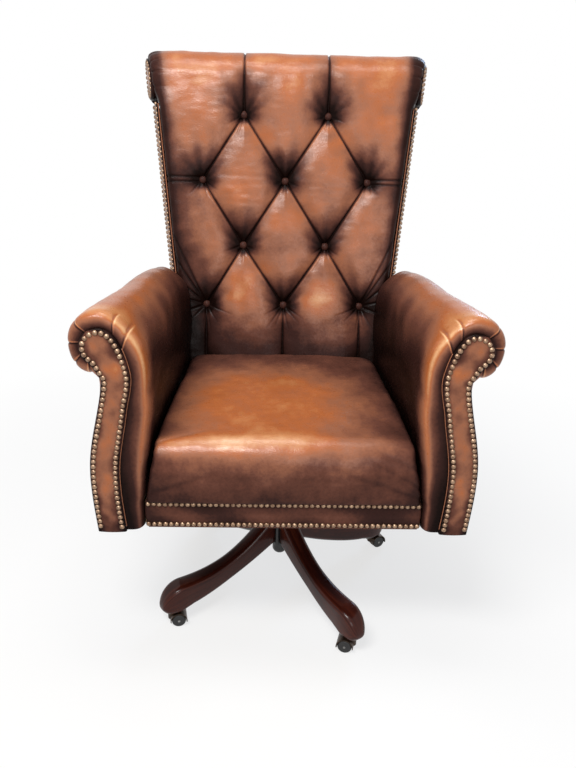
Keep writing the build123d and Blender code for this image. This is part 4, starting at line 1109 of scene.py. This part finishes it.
def leg_stations():
    """Reach, underside, top and width along the leg, and the toe's underside."""
    toe_low = box_mm("leg_front_right")[0][2]
    toe_top = toe_low + TOE_HEIGHT
    root_top = hub_high[2] - LEG_ROOT_STEP
    root_low = root_top - LEG_ROOT_DEPTH
    ankle_low = toe_low + ANKLE_RISE
    ankle = LEG_REACH - TOE_LENGTH
    share = linspace(0, 1, 40)
    fall = 1 - share
    shaft = points_of(LEG_ROOT + (ankle - LEG_ROOT) * share,
                      ankle_low + (root_low - ankle_low) * fall ** 1.5,
                      toe_top + (root_top - toe_top) * fall ** 2.4,
                      LEG_WIDTH + (TOE_WIDTH - LEG_WIDTH) * maximum(0, share - 0.5) * 2)
    lean = cos(radians(linspace(0, 86, 26)[1:]))
    middle = toe_low - 2 + 0.25 * TOE_HEIGHT
    toe = points_of(ankle + TOE_LENGTH * sqrt(1 - lean ** 2),
                    middle - (middle - toe_low + 2) * minimum(1, 1.5 * lean),
                    middle + (toe_top - middle) * lean, TOE_WIDTH * sqrt(lean))
    stations = concatenate([shaft, toe])
    smoothed = np.convolve(np.pad(stations[:, 1], 3, mode="edge"), np.ones(7) / 7, mode="valid")
    stations[3:-3, 1] = smoothed[3:-3]
    return stations, toe_low


def leg_ring(reach, low, top, width, floor):
    """One round-edged section, cut off flat at floor."""
    edge = min(LEG_EDGE, 0.45 * min(width, top - low))
    half = (width / 2 - edge, (top - low) / 2 - edge)
    corners = [arc((sx * half[0], (low + top) / 2 + sz * half[1]), edge, start, start + 90, 9)
               for sx, sz, start in ((1, 1, 0), (-1, 1, 90), (-1, -1, 180), (1, -1, 270))]
    x, z = concatenate(corners).T
    return points_of(reach, x, maximum(z, floor))


def make_legs():
    """Four alike legs, the grain running along each."""
    stations, floor = leg_stations()
    rings = array([leg_ring(*station, floor) for station in stations])
    around = linspace(0, 200, rings.shape[1])
    uv = points_of(rings[..., 0], around).reshape(-1, 2)
    for index, name in enumerate(LEG_NAMES):
        turn = radians(BASE_TURN + 90 * index)
        spin = array(((cos(turn), sin(turn), 0), (-sin(turn), cos(turn), 0), (0, 0, 1)))
        leg = make_piece(f"leg_{name}_timber", *merged([rings @ spin]), red_timber, "base",
                         uv=uv + GRAIN_SHIFT * index)
        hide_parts(f"leg_{name}")


def make_spring():
    """Coil of round wire, drawn at one length; the real spring shortens as the seat tilts."""
    low, high = box_mm("tilt_spring")
    middle = (low + high) / 2
    turns = linspace(0, 1, 420)[:, None]
    angle = tau * SPRING_TURNS * turns
    rise = low[2] + SPRING_WIRE + (high[2] - low[2] - 2 * SPRING_WIRE) * turns
    around = circle(14)
    reach = (high[0] - low[0]) / 2 - SPRING_WIRE + SPRING_WIRE * cos(around)
    rings = points_of(middle[0] + reach * cos(angle), middle[1] + reach * sin(angle),
                      rise + SPRING_WIRE * sin(around))
    spring = make_piece("tilt_spring_wire", *merged([rings]), spring_steel, "yoke")
    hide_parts("tilt_spring")
    tuple(array((middle[0], middle[1], low[2])) * MM)
    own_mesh(spring)


def make_dust_cover():
    """Lining stretched under the frame, sagging a little outside the tilt plate."""
    low, high = box_mm("dust_cover")
    share = linspace(0, 1, CLOTH_GRID)[:, None]
    across = linspace(-1, 1, CLOTH_GRID)
    y = low[1] + (high[1] - low[1]) * share
    half = along_arm(ARM_FOOT, y) - 8
    x = half * across
    free = unit((maximum(abs(x) - plate_high[0], abs(y) - plate_high[1]) - 6) / 60)
    sag = CLOTH_SAG * free * (1 - across ** 4) * (1 - (2 * share - 1) ** 4)
    points = points_of(x, y, (low[2] + high[2]) / 2 - sag).reshape(-1, 3)
    index = np.arange(len(points)).reshape(x.shape)
    faces = points_of(index[:-1, :-1], index[:-1, 1:], index[1:, 1:], index[1:, :-1]).reshape(-1, 4)
    cloth = make_piece("dust_cover_cloth", points, faces.tolist(), black_cloth, "seat")
    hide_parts("dust_cover")


def finish_cad_nodes():
    """Materials for the CAD nodes that stay in view, by words in their names."""
    words = ((brass, "castor_sockets thrust_washer"), (bronze, "_hood"), (webbing, "seat_webbing"),
             (black_steel, "base_hub lift_tube height_wheel"), (black_plastic, "_wheels tension_knob"),
             (bright_steel, "_axle studs guide_key spindle swivel_bearing circlip pivot_pin spring_cup"),
             (bright_steel, "tension_bolt plate_bolts"), (black_steel, "tilt_"))
    for name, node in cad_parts.items():
        found = [material for material, keys in words for key in keys.split() if key in name]
        for slot in node.material_slots:
            slot.material = found[0] if found else frame_timber


# setting

def make_camera():
    """The photograph's view."""
    pitch, yaw, roll = (radians(angle) for angle in CAMERA_TURNS)
    turns = ((-yaw, "Z"), (pi / 2 - pitch, "X"), (-roll, "Z"))
    data = bpy.data.cameras.new("camera")
    data.sensor_width = SENSOR
    data.lens = SENSOR * FOCAL_LENGTH / PICTURE_HEIGHT
    camera = add_object("camera", data)
    place = Matrix.Translation(Vector(CAMERA_PLACE) * MM)
    for angle, axis in turns:
        place = place @ Matrix.Rotation(angle, 4, axis)
    camera.matrix_world = place
    bpy.context.scene.camera = camera


def area_light(name, place, target, size, power, colour="#ffffff"):
    """A flat lamp at place, pointed at target."""
    data = bpy.data.lights.new(name, "AREA")
    data.shape = "RECTANGLE"
    data.size, data.size_y = size
    data.energy = power
    data.color = srgb(colour)[:3]
    lamp = add_object(name, data)
    lamp.rotation_euler = (Vector(place) - Vector(target)).to_track_quat("Z", "Y").to_euler()
    lamp.location = place


def background_rays(tree):
    """1 for rays that show the background: direct, in a gloss or through something clear."""
    path = add_node(tree, "ShaderNodeLightPath").outputs
    seen = path["Is Camera Ray"]
    for kind in ("Is Glossy Ray", "Is Transmission Ray"):
        seen = add_node(tree, "ShaderNodeMath", "Value", {0: seen, 1: path[kind]}, operation="MAXIMUM")
    return seen


def make_world():
    """Plain white where it is seen, dim as a light."""
    world = bpy.data.worlds.new("studio")
    world.use_nodes = True
    bpy.context.scene.world = world
    tree = world.node_tree
    strength = add_node(tree, "ShaderNodeMapRange", "Result",
                        {"Value": background_rays(tree), "To Min": 0.18, "To Max": 1.0})
    fill(tree.nodes["Background"], {"Color": srgb("#ffffff"), "Strength": strength})


def pale_floor():
    """Off-white that fades into the background away from the chair."""
    material, tree, surface = new_material("pale_floor")
    fill(surface, {"Base Color": srgb("#f4f2ef"), "Roughness": 0.9})
    place = add_node(tree, "ShaderNodeTexCoord", "Object")
    away = add_node(tree, "ShaderNodeVectorMath", "Value", {0: place}, operation="LENGTH")
    plain = add_node(tree, "ShaderNodeMapRange", "Result",
                     {"Value": away, "From Min": 0.45, "From Max": 1.5, "To Min": 0.7, "To Max": 1.0})
    plain = add_node(tree, "ShaderNodeMath", "Value", {0: plain, 1: background_rays(tree)},
                     operation="MULTIPLY")
    white = add_node(tree, "ShaderNodeEmission", "Emission", {"Color": srgb("#ffffff"), "Strength": 1.0})
    both = add_node(tree, "ShaderNodeMixShader", "Shader", {0: plain, 1: surface.outputs["BSDF"], 2: white})
    fill(tree.nodes["Material Output"], {"Surface": both})
    return material


def make_setting():
    bpy.context.scene.view_settings.view_transform = "Standard"
    make_world()
    mesh = bpy.data.meshes.new("floor")
    corners = [(FLOOR_HALF * sx, FLOOR_HALF * sy, 0) for sx, sy in ((-1, -1), (1, -1), (1, 1), (-1, 1))]
    mesh.from_pydata(corners, [], [(0, 1, 2, 3)])
    mesh.materials.append(pale_floor())
    add_object("floor", mesh)
    for lamp in LAMPS:
        area_light(*lamp)


finish_cad_nodes()
make_back()
make_buttons()
make_seat()
make_border()
make_rear_panel()
make_arm(1, "arm_right")
make_arm(-1, "arm_left")
make_trim()
make_legs()
make_spring()
make_dust_cover()
make_camera()
make_setting()
